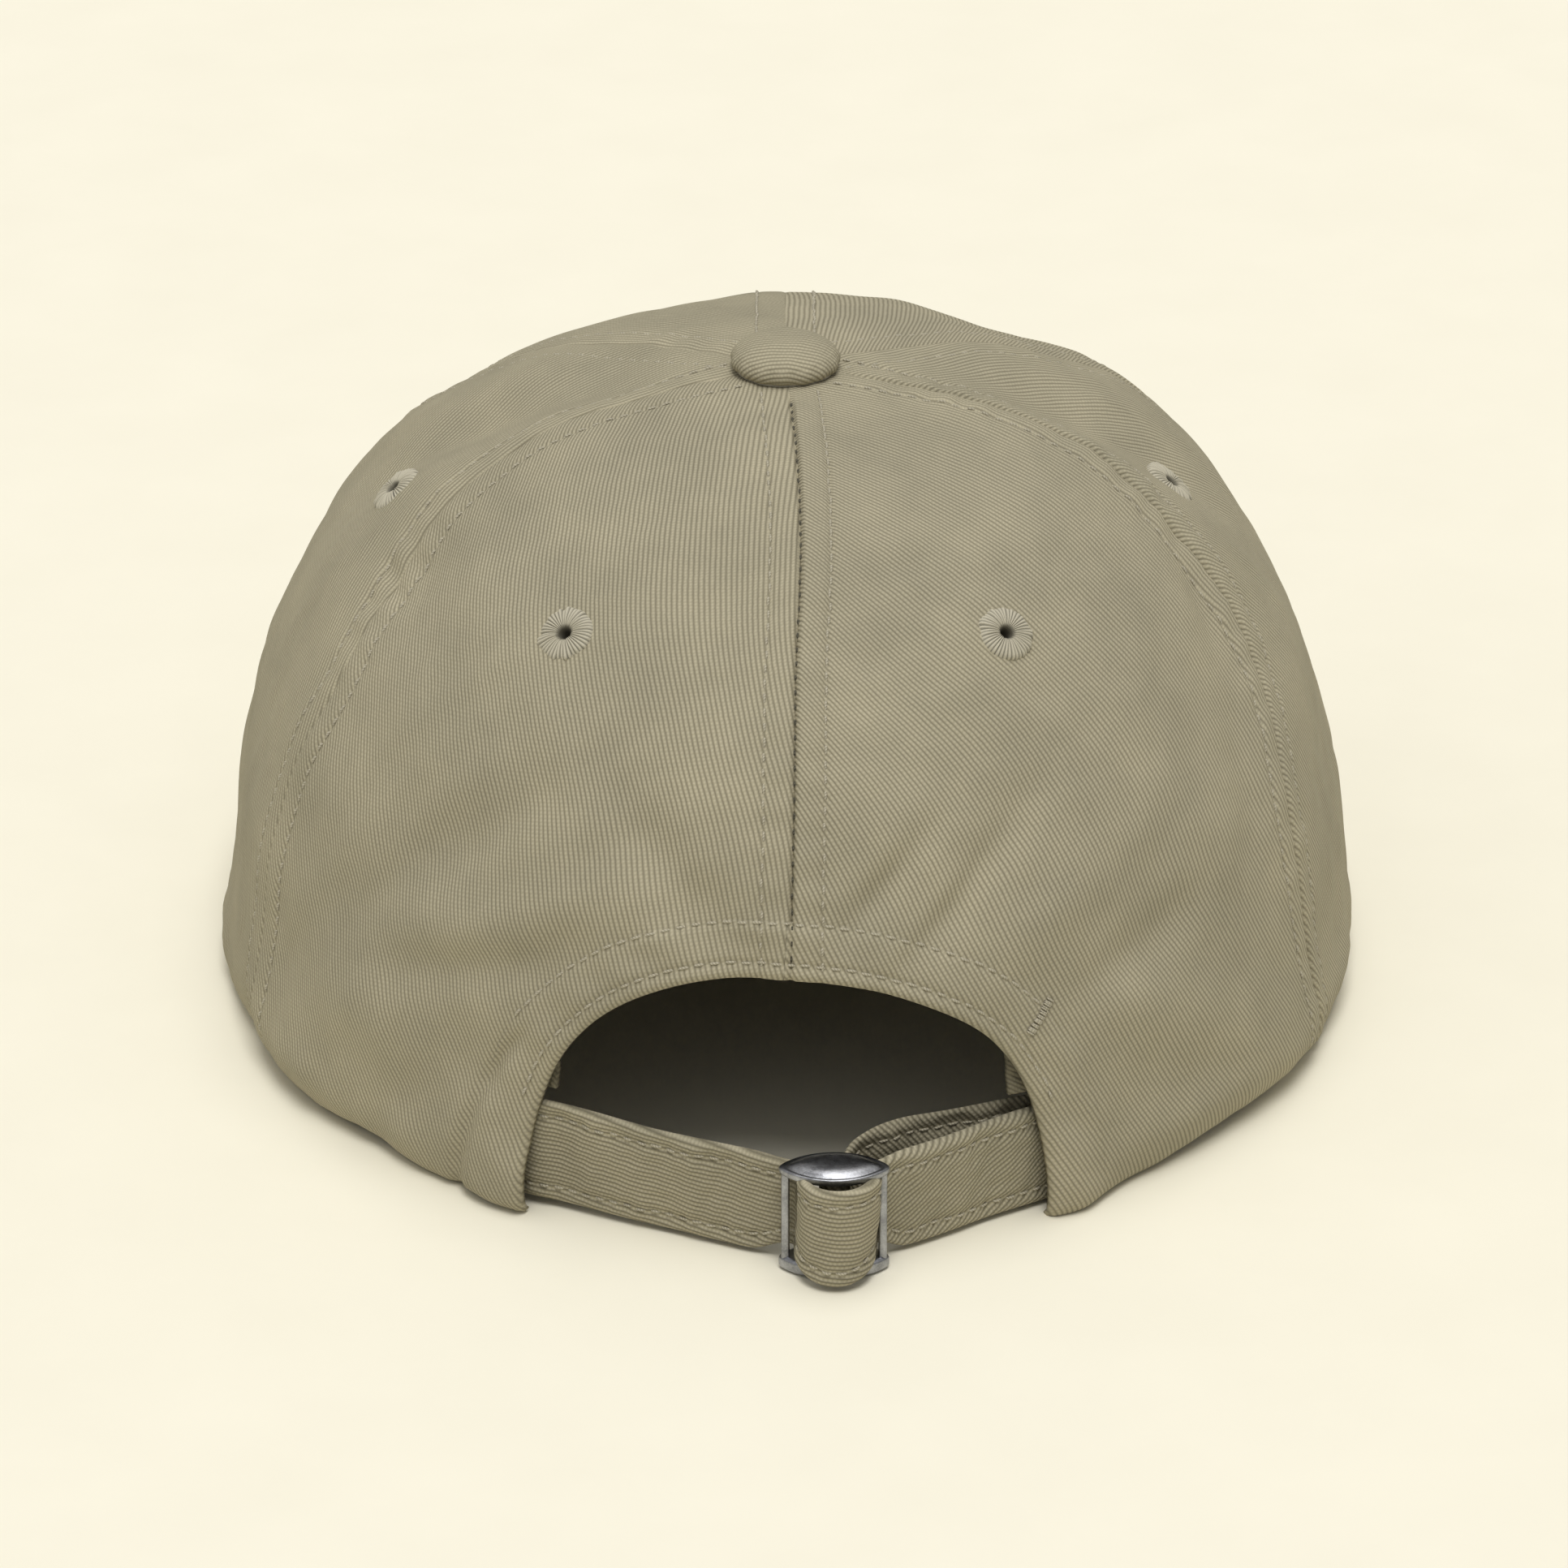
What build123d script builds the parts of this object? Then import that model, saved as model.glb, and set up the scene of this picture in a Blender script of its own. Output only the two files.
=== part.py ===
from build123d import *
import math
import os

# A six-panel baseball cap with a soft crown, a curved visor and a strap with a slide buckle.
# Millimetres. +Z is up and +Y points forward, where the visor is. The origin is the centre
# of the head opening, in the plane that the rim rests on. Left and right are the wearer's.

# Crown
HALF_WIDTH = 87.5
HALF_LENGTH = 96.7
CROWN_HEIGHT = 96.4
PROFILE_POWER = 2.5
LEVEL_POWER = 2.45
CLOTH = 1.2
LAYER_GAP = 0.05
TAPE_THICKNESS = 0.5
TAPE_WIDTH = 20.0
RIM_TRIM = 2.0
FRONT_SEAM_ANGLE = 33.0
BACK_SEAM_ANGLE = 28.0

# Back opening
OPENING_HALF_WIDTH = 38.6
OPENING_HEIGHT = 41.9
OPENING_SIDE_POWER = 2.45
OPENING_TOP_POWER = 2.8
FACING_WIDTH = 10.0

# Sweatband
BAND_INSET = 2.0
BAND_THICKNESS = 1.1
BAND_HEIGHT = 30.0
BAND_FOOT = 1.0
BAND_NOTCH_HALF_WIDTH = 62.0
BAND_NOTCH_HEIGHT = 19.0

# Eyelets
EYELET_HEIGHT = 79.0
EYELET_RADIUS = 4.0
EYELET_HOLE_RADIUS = 0.8
EYELET_RISE = 0.6
EYELET_DEPTH = 1.8
EYELET_CLEARANCE = 0.05

# Button
BUTTON_RADIUS = 8.2
BUTTON_HEIGHT = 4.6
BUTTON_CLOTH = 0.6
BUTTON_METAL = 0.5
PRONG_RADIUS = 1.5
WASHER_RADIUS = 7.0
WASHER_THICKNESS = 1.0
WASHER_TOP = CROWN_HEIGHT - CLOTH - TAPE_THICKNESS - 6 * LAYER_GAP

# Visor
VISOR_HALF_WIDTH = 79.0
VISOR_FRONT = 166.0
VISOR_WIDEST_Y = 78.0
VISOR_RISE = 26.6
VISOR_BEND_RADIUS = 145.3
VISOR_TILT = 5.0
VISOR_ROOT_Y = 45.0
VISOR_CLOTH = 0.8
BOARD_THICKNESS = 2.0
VISOR_HEM = 1.0
RIM_LIFT_Y = 26.0
RIM_SLOPE = 0.35

# Straps and buckle
STRAP_FOOT = 0.7
STRAP_WIDTH = 16.2
STRAP_THICKNESS = 1.8
ANCHOR_THICKNESS = 1.6
STRAP_PINCH = 1.8
LOOP_THICKNESS = 1.2
BAR_X = 7.1
BAR_Y = -102.2
BAR_RADIUS = 1.1
BAR_CLEARANCE = 0.05
FRAME_FOOT = 0.3
FRAME_HEIGHT = 17.6
PLATE_THICKNESS = 2.0
PLATE_HALF_LENGTH = 7.8
PLATE_HALF_DEPTH = 4.2
UPRIGHT_WIDTH = 1.3
UPRIGHT_DEPTH = 1.6
TAIL_START = (13.3, -99.2)
TAIL_END = (45.2, -78.8)

# Care label
LABEL_WIDTH = 30.0
LABEL_FOOT = 6.0
LABEL_TOP = 38.0
LABEL_THICKNESS = 0.3

REACH = 200.0
FLOOR_MARGIN = 20.0

SEAM_ANGLES = {
    "front": 90.0,
    "front_left": 180.0 - FRONT_SEAM_ANGLE,
    "back_left": 180.0 + BACK_SEAM_ANGLE,
    "back": 270.0,
    "back_right": 360.0 - BACK_SEAM_ANGLE,
    "front_right": FRONT_SEAM_ANGLE,
}
PANEL_ANGLES = {
    "front_panel_right": (FRONT_SEAM_ANGLE, 90.0),
    "front_panel_left": (90.0, 180.0 - FRONT_SEAM_ANGLE),
    "side_panel_left": (180.0 - FRONT_SEAM_ANGLE, 180.0 + BACK_SEAM_ANGLE),
    "back_panel_left": (180.0 + BACK_SEAM_ANGLE, 270.0),
    "back_panel_right": (270.0, 360.0 - BACK_SEAM_ANGLE),
    "side_panel_right": (-BACK_SEAM_ANGLE, FRONT_SEAM_ANGLE),
}
EYELET_ANGLES = {
    "front_panel_right": 60.0,
    "front_panel_left": 120.0,
    "side_panel_left": 185.0,
    "back_panel_left": 240.0,
    "back_panel_right": 300.0,
    "side_panel_right": -1.0,
}


def level_factor(height, inset):
    """How far the crown has drawn in at a height, from 1 at the rim to 0 at the top."""
    share = max(0.0, height / (CROWN_HEIGHT - inset))
    return max(0.0, 1.0 - share**PROFILE_POWER) ** (1.0 / LEVEL_POWER)


def direction(angle):
    """The horizontal unit vector at an angle from +X."""
    return (math.cos(math.radians(angle)), math.sin(math.radians(angle)))


def rim_radius(angle, inset):
    """The crown's radius at the rim, in the direction of an angle."""
    unit = direction(angle)
    return 1 / math.hypot(unit[0] / (HALF_WIDTH - inset), unit[1] / (HALF_LENGTH - inset))


def profile_height(angle, inset, radius):
    """The height at which the crown has drawn in to a radius."""
    share = radius / rim_radius(angle, inset)
    return (CROWN_HEIGHT - inset) * (1 - share**LEVEL_POWER) ** (1 / PROFILE_POWER)


def visor_line(angle, lift):
    """The height of the crown's rim where the visor raises it, and zero elsewhere."""
    unit = direction(angle)
    radius = rim_radius(angle, 0)
    across = unit[0] * radius
    along = unit[1] * radius
    if along < 0:
        return lift
    bend = VISOR_BEND_RADIUS - math.sqrt(VISOR_BEND_RADIUS**2 - across**2)
    drop = (along - VISOR_ROOT_Y) * math.tan(math.radians(VISOR_TILT))
    return max(0.0, VISOR_RISE - bend - drop) + lift


def profile_points(angle, inset, foot, top):
    """Points up the crown's side between two heights, closer together near the top."""
    height = CROWN_HEIGHT - inset
    first = math.asin(foot / height)
    last = math.asin(min(1.0, top / height))
    steps = max(3, round(8 * (last - first) / (math.pi / 2)))
    points = []
    for step in range(steps + 1):
        level = height * math.sin(first + (last - first) * step / steps)
        points.append((rim_radius(angle, inset) * level_factor(level, inset), level))
    return points


def skin(start, end, inset, thickness, foot, top=None, inner_radius=None):
    """A curved layer of the crown between two angles: foot and top give its edges' heights."""
    sections = max(3, math.ceil(abs(end - start) / 15) + 1)
    with BuildPart() as layer:
        for section in range(sections):
            angle = start + (end - start) * section / (sections - 1)
            unit = direction(angle)
            upright = Plane(origin=(0, 0, 0), x_dir=(*unit, 0), z_dir=(unit[1], -unit[0], 0))
            edges = []
            for depth in (inset, inset + thickness):
                summit = top(angle) if top else profile_height(angle, depth, inner_radius)
                edges.append(profile_points(angle, depth, foot(angle), summit))
            with BuildSketch(upright):
                with BuildLine():
                    outer = Spline(edges[0])
                    inner = Spline(edges[1])
                    Line(outer @ 0, inner @ 0)
                    Line(outer @ 1, inner @ 1)
                make_face()
        loft()
    return layer.part


def opening_cutter(margin):
    """The prism of the back opening, an arch whose sides come down upright, widened by margin."""
    half = OPENING_HALF_WIDTH + margin
    height = OPENING_HEIGHT + margin
    steps = 12
    arch = []
    for step in range(steps + 1):
        turn = math.pi * step / steps
        across = math.copysign(abs(math.cos(turn)) ** (2 / OPENING_SIDE_POWER), math.cos(turn))
        arch.append((half * across, height * abs(math.sin(turn)) ** (2 / OPENING_TOP_POWER)))
    with BuildPart() as cutter:
        with BuildSketch(Plane.XZ.offset(HALF_LENGTH / 2)):
            with BuildLine():
                Spline(arch, tangents=[(0, 1), (0, -1)])
                Polyline((-half, 0), (-half, -FLOOR_MARGIN), (half, -FLOOR_MARGIN), (half, 0))
            make_face()
        extrude(amount=REACH / 2)
    return cutter.part


def visor_underside(lift):
    """The space below the visor's curved underside, raised by lift, from where the rim leaves the floor."""
    tilt = math.radians(VISOR_TILT)
    forward = (0, math.cos(tilt), -math.sin(tilt))
    centre = VISOR_RISE - VISOR_BEND_RADIUS + lift + (VISOR_ROOT_Y - RIM_LIFT_Y) * math.tan(tilt)
    slope_end = REACH / 2
    with BuildPart() as space:
        with BuildSketch(Plane.XZ.offset(-RIM_LIFT_Y)):
            with Locations((0, centre)):
                Circle(VISOR_BEND_RADIUS)
        extrude(amount=REACH, dir=forward)
        with BuildSketch(Plane.YZ):
            with BuildLine():
                Polyline(
                    (RIM_LIFT_Y, lift),
                    (RIM_LIFT_Y + slope_end, lift + slope_end * RIM_SLOPE),
                    (RIM_LIFT_Y + slope_end, -FLOOR_MARGIN),
                    (RIM_LIFT_Y, -FLOOR_MARGIN),
                    close=True,
                )
            make_face()
        extrude(amount=REACH, both=True, mode=Mode.INTERSECT)
    return space.part


def visor_outline(inset):
    """The upright prism of the visor's plan outline, its edge moved in by inset."""
    half = VISOR_HALF_WIDTH - inset
    front = VISOR_FRONT - inset
    outline = [
        (half - 7, VISOR_ROOT_Y - 2),
        (half, VISOR_WIDEST_Y),
        (half - 23, front - 24),
        (0, front),
    ]
    mirrored = [(-across, along) for across, along in reversed(outline[:-1])]
    with BuildPart() as prism:
        with BuildSketch(Plane.XY.offset(-FLOOR_MARGIN)):
            with BuildLine():
                edge = Spline(outline + mirrored)
                Line(edge @ 1, edge @ 0)
            make_face()
        extrude(amount=REACH / 2)
    return prism.part


def visor_band(foot, top):
    """A curved band of even thickness, wider than the visor."""
    tilt = math.radians(VISOR_TILT)
    centre = VISOR_RISE - VISOR_BEND_RADIUS
    forward = (0, math.cos(tilt), -math.sin(tilt))
    with BuildPart() as band:
        with BuildSketch(Plane.XZ.offset(-VISOR_ROOT_Y)):
            with Locations((0, centre)):
                Circle(VISOR_BEND_RADIUS + top)
                Circle(VISOR_BEND_RADIUS + foot, mode=Mode.SUBTRACT)
        extrude(amount=REACH, dir=forward)
    return band.part


def head_form():
    """The lower part of the crown as a solid, just clear of its outside."""
    levels = (0, 10, 20, 30, 40)
    with BuildPart() as form:
        for level in levels:
            factor = level_factor(level, 0)
            with BuildSketch(Plane.XY.offset(level)):
                Ellipse(HALF_WIDTH * factor + LAYER_GAP, HALF_LENGTH * factor + LAYER_GAP)
        loft()
        with BuildSketch(Plane.XY.offset(-FLOOR_MARGIN)):
            Ellipse(HALF_WIDTH, HALF_LENGTH)
        extrude(amount=FLOOR_MARGIN)
    return form.part


def visor_layer(foot, top, inset):
    """One curved layer of the visor, between two levels above its underside."""
    with BuildPart() as layer:
        add(visor_band(foot, top))
        add(visor_outline(inset), mode=Mode.INTERSECT)
        add(head_form(), mode=Mode.SUBTRACT)
    return layer.part


def eyelet_plane(angle):
    """The plane that touches the crown where an eyelet sits, facing out."""
    unit = direction(angle)
    stretch = math.hypot(unit[0] / HALF_WIDTH, unit[1] / HALF_LENGTH)
    factor = level_factor(EYELET_HEIGHT, 0)
    radius = factor / stretch
    step = 0.1
    slope = (level_factor(EYELET_HEIGHT + step, 0) - level_factor(EYELET_HEIGHT - step, 0)) / (2 * step)
    point = (unit[0] * radius, unit[1] * radius, EYELET_HEIGHT)
    normal = (point[0] / HALF_WIDTH**2, point[1] / HALF_LENGTH**2, -factor * slope)
    return Plane(origin=point, z_dir=normal)


def below_floor(angle):
    """The height of a panel's lower edge before it is trimmed flat at the floor."""
    return -RIM_TRIM


def band_foot(angle):
    """The height of the lower edge of the layers inside the rim."""
    return BAND_FOOT


def band_top(angle):
    """The height of the sweatband's upper edge, which follows the visor's curve."""
    return visor_line(angle, BAND_FOOT + BAND_HEIGHT)


def panel(name):
    """One crown panel, with its eyelet hole."""
    start, end = PANEL_ANGLES[name]
    with BuildPart() as cloth:
        add(skin(start, end, 0, CLOTH, below_floor, inner_radius=PRONG_RADIUS + LAYER_GAP))
        with BuildSketch(Plane.XY):
            Rectangle(2 * REACH, 2 * REACH)
        extrude(amount=-FLOOR_MARGIN, mode=Mode.SUBTRACT)
        if name.startswith("back"):
            add(opening_cutter(0), mode=Mode.SUBTRACT)
        else:
            add(visor_underside(0), mode=Mode.SUBTRACT)
        with BuildSketch(eyelet_plane(EYELET_ANGLES[name])):
            Circle(EYELET_RADIUS + EYELET_CLEARANCE)
        extrude(amount=3 * CLOTH, both=True, mode=Mode.SUBTRACT)
    return cloth.part


def eyelet(name):
    """A ring of close stitches through the panel, with rounded faces."""
    seat = eyelet_plane(EYELET_ANGLES[name])
    with BuildPart() as ring:
        with BuildSketch(seat.offset(-EYELET_DEPTH)):
            Circle(EYELET_RADIUS)
            Circle(EYELET_HOLE_RADIUS, mode=Mode.SUBTRACT)
        extrude(amount=EYELET_DEPTH + EYELET_RISE)
        fillet(ring.edges().filter_by(GeomType.CIRCLE).sort_by(SortBy.LENGTH)[-2:], EYELET_RISE)
    return ring.part


def seam_tape(name):
    """A flat tape behind one seam, mitred to its neighbours at the top of the crown."""
    angle = SEAM_ANGLES[name]
    mitre = 27.0
    inset = CLOTH + LAYER_GAP
    with BuildPart() as tape:
        add(skin(angle - mitre, angle + mitre, inset, TAPE_THICKNESS, band_foot, inner_radius=WASHER_RADIUS))
        with BuildSketch(Plane.XY.rotated((0, 0, angle))):
            with Locations((REACH / 2, 0)):
                Rectangle(REACH, TAPE_WIDTH)
        extrude(amount=REACH, mode=Mode.INTERSECT)
        if name.startswith("front"):
            add(visor_underside(BAND_FOOT), mode=Mode.SUBTRACT)
        if name == "back":
            add(opening_cutter(FACING_WIDTH + 1), mode=Mode.SUBTRACT)
    return tape.part


def opening_facing():
    """The tape that backs the turned edge of the back opening."""
    reach_angle = 34.0
    foot = BAND_NOTCH_HEIGHT
    inset = CLOTH + LAYER_GAP
    with BuildPart() as facing:
        add(
            skin(
                270 - reach_angle,
                270 + reach_angle,
                inset,
                TAPE_THICKNESS,
                lambda angle: foot,
                top=lambda angle: OPENING_HEIGHT + 2 * FACING_WIDTH,
            )
        )
        add(opening_cutter(FACING_WIDTH), mode=Mode.INTERSECT)
        add(opening_cutter(0), mode=Mode.SUBTRACT)
    return facing.part


def sweatband(side):
    """Half of the sweatband: side is -1 for the left and 1 for the right."""
    seam_gap = 0.1
    back_angle = 28.0
    start = -90 + side * back_angle
    end = 90 if side > 0 else -270
    with BuildPart() as band:
        add(skin(start, end - side * seam_gap, BAND_INSET, BAND_THICKNESS, band_foot, top=band_top))
        add(visor_underside(BAND_FOOT), mode=Mode.SUBTRACT)
        with BuildSketch(Plane.XY):
            with Locations((0, -REACH / 2)):
                Rectangle(2 * BAND_NOTCH_HALF_WIDTH, REACH)
        extrude(amount=BAND_NOTCH_HEIGHT, mode=Mode.SUBTRACT)
        with BuildSketch(Plane.XY):
            with Locations((0, -REACH / 2)):
                Rectangle(2 * OPENING_HALF_WIDTH, REACH)
        extrude(amount=REACH, mode=Mode.SUBTRACT)
    return band.part


def care_label():
    """A blank woven label that hangs inside the sweatband, behind the left ear."""
    middle = 195.0
    half_angle = math.degrees(LABEL_WIDTH / 2 / HALF_WIDTH)
    inset = BAND_INSET + BAND_THICKNESS + LAYER_GAP
    return skin(
        middle - half_angle,
        middle + half_angle,
        inset,
        LABEL_THICKNESS,
        lambda angle: LABEL_FOOT,
        top=lambda angle: LABEL_TOP,
    )


def button_profile(outset, foot):
    """Revolved solid under a rounded button form, moved in by outset."""
    radius = BUTTON_RADIUS - outset
    height = BUTTON_HEIGHT - outset
    base = CROWN_HEIGHT + LAYER_GAP
    with BuildPart() as form:
        with BuildSketch(Plane.XZ):
            with BuildLine():
                crown = Spline(
                    (0, base + height),
                    (radius * 0.6, base + height * 0.86),
                    (radius, base + height * 0.3),
                    tangents=[(1, 0), (0, -1)],
                )
                Polyline(crown @ 1, (radius * 0.95, base + foot), (0, base + foot), crown @ 0)
            make_face()
        revolve(axis=Axis.Z)
    return form.part


def button_cover():
    """The cloth that wraps the button, turned in under its rim."""
    base = CROWN_HEIGHT + LAYER_GAP
    with BuildPart() as cover:
        add(button_profile(0, 0))
        add(button_profile(BUTTON_CLOTH, BUTTON_CLOTH), mode=Mode.SUBTRACT)
        with BuildSketch(Plane.XY.offset(base - 1)):
            Circle(BUTTON_RADIUS * 0.7)
        extrude(amount=1 + BUTTON_CLOTH, mode=Mode.SUBTRACT)
    return cover.part


def button_shell():
    """The pressed metal cap inside the button's cloth."""
    inset = BUTTON_CLOTH + LAYER_GAP
    with BuildPart() as cap:
        add(button_profile(inset, inset))
        add(button_profile(inset + BUTTON_METAL, inset - 1), mode=Mode.SUBTRACT)
    return cap.part


def button_prong():
    """The rivet that holds the button: a head inside the shell and a shank through the crown."""
    base = CROWN_HEIGHT + LAYER_GAP
    head_foot = BUTTON_CLOTH + 3 * LAYER_GAP
    head_thickness = 0.8
    tip_radius = 2.6
    tip_thickness = 0.8
    shank_foot = WASHER_TOP - WASHER_THICKNESS - tip_thickness
    with BuildPart() as prong:
        with BuildSketch(Plane.XY.offset(base + head_foot)):
            Circle(BUTTON_RADIUS * 0.62)
        extrude(amount=head_thickness)
        with BuildSketch(Plane.XY.offset(shank_foot)):
            Circle(PRONG_RADIUS)
        extrude(amount=base + head_foot - shank_foot)
        with BuildSketch(Plane.XY.offset(shank_foot)):
            Circle(tip_radius)
        extrude(amount=tip_thickness)
    return prong.part


def button_washer():
    """The washer that the prong is closed over, under the crown's top."""
    with BuildPart() as washer:
        with BuildSketch(Plane.XY.offset(WASHER_TOP - WASHER_THICKNESS)):
            Circle(WASHER_RADIUS)
            Circle(PRONG_RADIUS + LAYER_GAP, mode=Mode.SUBTRACT)
        extrude(amount=WASHER_THICKNESS)
    return washer.part


def visor_upper_cloth():
    """The upper cloth of the visor, turned down round the board's edge."""
    board_top = VISOR_CLOTH + 2 * LAYER_GAP + BOARD_THICKNESS
    with BuildPart() as cloth:
        add(visor_layer(VISOR_CLOTH + LAYER_GAP, board_top + VISOR_CLOTH, 0))
        with BuildPart(mode=Mode.PRIVATE) as room:
            add(visor_band(0, board_top))
            add(visor_outline(VISOR_HEM), mode=Mode.INTERSECT)
        add(room.part, mode=Mode.SUBTRACT)
    return cloth.part


def pinch_cutter(plane, start, end):
    """Wedges above and below a strap, which narrow it from start to end and onwards."""
    low = STRAP_FOOT
    high = STRAP_FOOT + STRAP_WIDTH
    run = end - start
    far = end + math.copysign(2 * FLOOR_MARGIN, run)
    with BuildPart() as wedges:
        for edge, sign in ((low, 1), (high, -1)):
            with BuildSketch(plane):
                with BuildLine():
                    Polyline(
                        (start, edge),
                        (end, edge + sign * STRAP_PINCH),
                        (far, edge + sign * STRAP_PINCH),
                        (far, edge - sign * 2),
                        (start, edge - sign * 2),
                        close=True,
                    )
                make_face()
            extrude(amount=REACH, both=True)
    return wedges.part


def adjuster_strap():
    """The long strap: sewn in behind the left panel and folded over the buckle's bar."""
    fold_front = -107.8
    left_flank = 2.4
    right_flank = 11.8
    with BuildPart() as strap:
        with BuildSketch(Plane.XY.offset(STRAP_FOOT)):
            with BuildLine():
                FilletPolyline(
                    (-49.5, -75.4),
                    (-37.1, -83.3),
                    (left_flank, -100.6),
                    (left_flank, fold_front),
                    (right_flank, fold_front),
                    (right_flank, -100.7),
                    (12.9, -99.45),
                    radius=[20.0, 1.6, 4.6, 4.6, 1.0],
                )
            trace(line_width=STRAP_THICKNESS)
        extrude(amount=STRAP_WIDTH)
        add(pinch_cutter(Plane.XZ, -9, -1.5), mode=Mode.SUBTRACT)
    return strap.part


def adjuster_strap_tail():
    """The free end of the long strap, from the buckle to its tuck behind the right panel."""
    with BuildPart() as tail:
        with BuildSketch(Plane.XY.offset(STRAP_FOOT)):
            with BuildLine():
                Line(TAIL_START, TAIL_END)
            trace(line_width=STRAP_THICKNESS)
        extrude(amount=STRAP_WIDTH)
        fillet(tail.edges().filter_by(Axis.Z), STRAP_THICKNESS / 2 - 0.05)
    return tail.part


def anchor_strap():
    """The short strap: sewn in behind the right panel and looped round the buckle's bar."""
    loop_inner = BAR_RADIUS + BAR_CLEARANCE
    with BuildPart() as strap:
        with BuildSketch(Plane.XY.offset(STRAP_FOOT)):
            with BuildLine():
                FilletPolyline(
                    (BAR_X + 0.6, BAR_Y + 1.8),
                    (9.3, -93.5),
                    (17.0, -87.4),
                    (37.0, -81.0),
                    (50.0, -72.6),
                    radius=[5.0, 14.0, 20.0],
                )
            trace(line_width=ANCHOR_THICKNESS)
            with Locations((BAR_X, BAR_Y)):
                Circle(loop_inner + LOOP_THICKNESS)
                Circle(loop_inner, mode=Mode.SUBTRACT)
        extrude(amount=STRAP_WIDTH)
        add(pinch_cutter(Plane.YZ, -89.5, -96.0), mode=Mode.SUBTRACT)
    return strap.part


def lens(height):
    """The pointed oval plate of the buckle, with its foot at a height."""
    radius = (PLATE_HALF_LENGTH**2 + PLATE_HALF_DEPTH**2) / (2 * PLATE_HALF_DEPTH)
    centre = radius - PLATE_HALF_DEPTH
    tip_radius = 0.85
    with BuildPart() as plate:
        with BuildSketch(Plane.XY.offset(height)) as outline:
            with Locations((BAR_X, BAR_Y + centre)):
                Circle(radius)
            with Locations((BAR_X, BAR_Y - centre)):
                Circle(radius, mode=Mode.INTERSECT)
            fillet(outline.vertices(), tip_radius)
        extrude(amount=PLATE_THICKNESS)
    return plate.part


def buckle_frame():
    """The cast frame: two pointed oval plates joined by an upright at each tip."""
    top_foot = FRAME_FOOT + FRAME_HEIGHT - PLATE_THICKNESS
    upright_x = PLATE_HALF_LENGTH - UPRIGHT_WIDTH / 2 - 0.2
    soften = 0.6
    with BuildPart() as frame:
        add(lens(FRAME_FOOT))
        add(lens(top_foot))
        chamfer(frame.faces().sort_by(Axis.Z)[-1].edges(), soften)
        chamfer(frame.faces().sort_by(Axis.Z)[0].edges(), soften / 2)
        with BuildSketch(Plane.XY.offset(FRAME_FOOT + PLATE_THICKNESS / 2)) as feet:
            with Locations((BAR_X - upright_x, BAR_Y), (BAR_X + upright_x, BAR_Y)):
                Rectangle(UPRIGHT_WIDTH, UPRIGHT_DEPTH)
            fillet(feet.vertices(), 0.3)
        extrude(amount=FRAME_HEIGHT - PLATE_THICKNESS)
    return frame.part


def buckle_bar():
    """The round centre bar between the buckle's plates."""
    with BuildPart() as bar:
        with BuildSketch(Plane.XY.offset(FRAME_FOOT + PLATE_THICKNESS)):
            with Locations((BAR_X, BAR_Y)):
                Circle(BAR_RADIUS)
        extrude(amount=FRAME_HEIGHT - 2 * PLATE_THICKNESS)
    return bar.part


def write(node, solid):
    """Label one sub-part and write its STEP file."""
    with BuildPart() as piece:
        add(solid)
    piece.part.label = node
    export_step(piece.part, f"parts/{node}.step")


os.makedirs("parts", exist_ok=True)

for panel_name in PANEL_ANGLES:
    write(panel_name, panel(panel_name))
    write(panel_name.replace("panel", "eyelet"), eyelet(panel_name))
for seam_name in SEAM_ANGLES:
    write(f"seam_tape_{seam_name}", seam_tape(seam_name))

write("opening_facing", opening_facing())
write("sweatband_left", sweatband(-1))
write("sweatband_right", sweatband(1))
write("care_label", care_label())

write("button_cover", button_cover())
write("button_shell", button_shell())
write("button_prong", button_prong())
write("button_washer", button_washer())

board_foot = VISOR_CLOTH + LAYER_GAP
write("visor_under_cloth", visor_layer(0, VISOR_CLOTH, 0))
write("visor_board", visor_layer(board_foot, board_foot + BOARD_THICKNESS, VISOR_HEM + LAYER_GAP))
write("visor_upper_cloth", visor_upper_cloth())

write("adjuster_strap", adjuster_strap())
write("adjuster_strap_tail", adjuster_strap_tail())
write("anchor_strap", anchor_strap())
write("buckle_frame", buckle_frame())
write("buckle_bar", buckle_bar())
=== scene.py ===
"""A khaki six-panel cap with a strap and slide buckle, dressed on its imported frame.
The functions work in millimetres, and cloth_object turns them into metres."""

import bpy
import math
import numpy as np
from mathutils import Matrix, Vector


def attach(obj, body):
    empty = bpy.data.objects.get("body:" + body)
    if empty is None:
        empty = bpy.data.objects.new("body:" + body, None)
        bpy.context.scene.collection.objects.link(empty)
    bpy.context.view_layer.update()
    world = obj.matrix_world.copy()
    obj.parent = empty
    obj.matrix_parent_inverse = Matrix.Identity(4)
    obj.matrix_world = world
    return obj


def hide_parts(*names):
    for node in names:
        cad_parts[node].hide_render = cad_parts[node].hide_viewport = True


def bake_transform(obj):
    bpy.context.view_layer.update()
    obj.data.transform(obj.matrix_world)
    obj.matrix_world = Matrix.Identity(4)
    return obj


MM = 0.001

# Crown
HALF_WIDTH = 87.5
HALF_LENGTH = 96.7
CROWN_HEIGHT = 96.4
PROFILE_POWER = 2.5
LEVEL_POWER = 2.45
CLOTH = 1.2
ROW_OFFSET = 4.5
PUCKER_PITCH = 5.6
SEAM_TOP_GAP = 9.0
STITCH_PITCH = 2.3
BACK_RISE = 1.3
FRONT_FALL = 1.7

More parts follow.
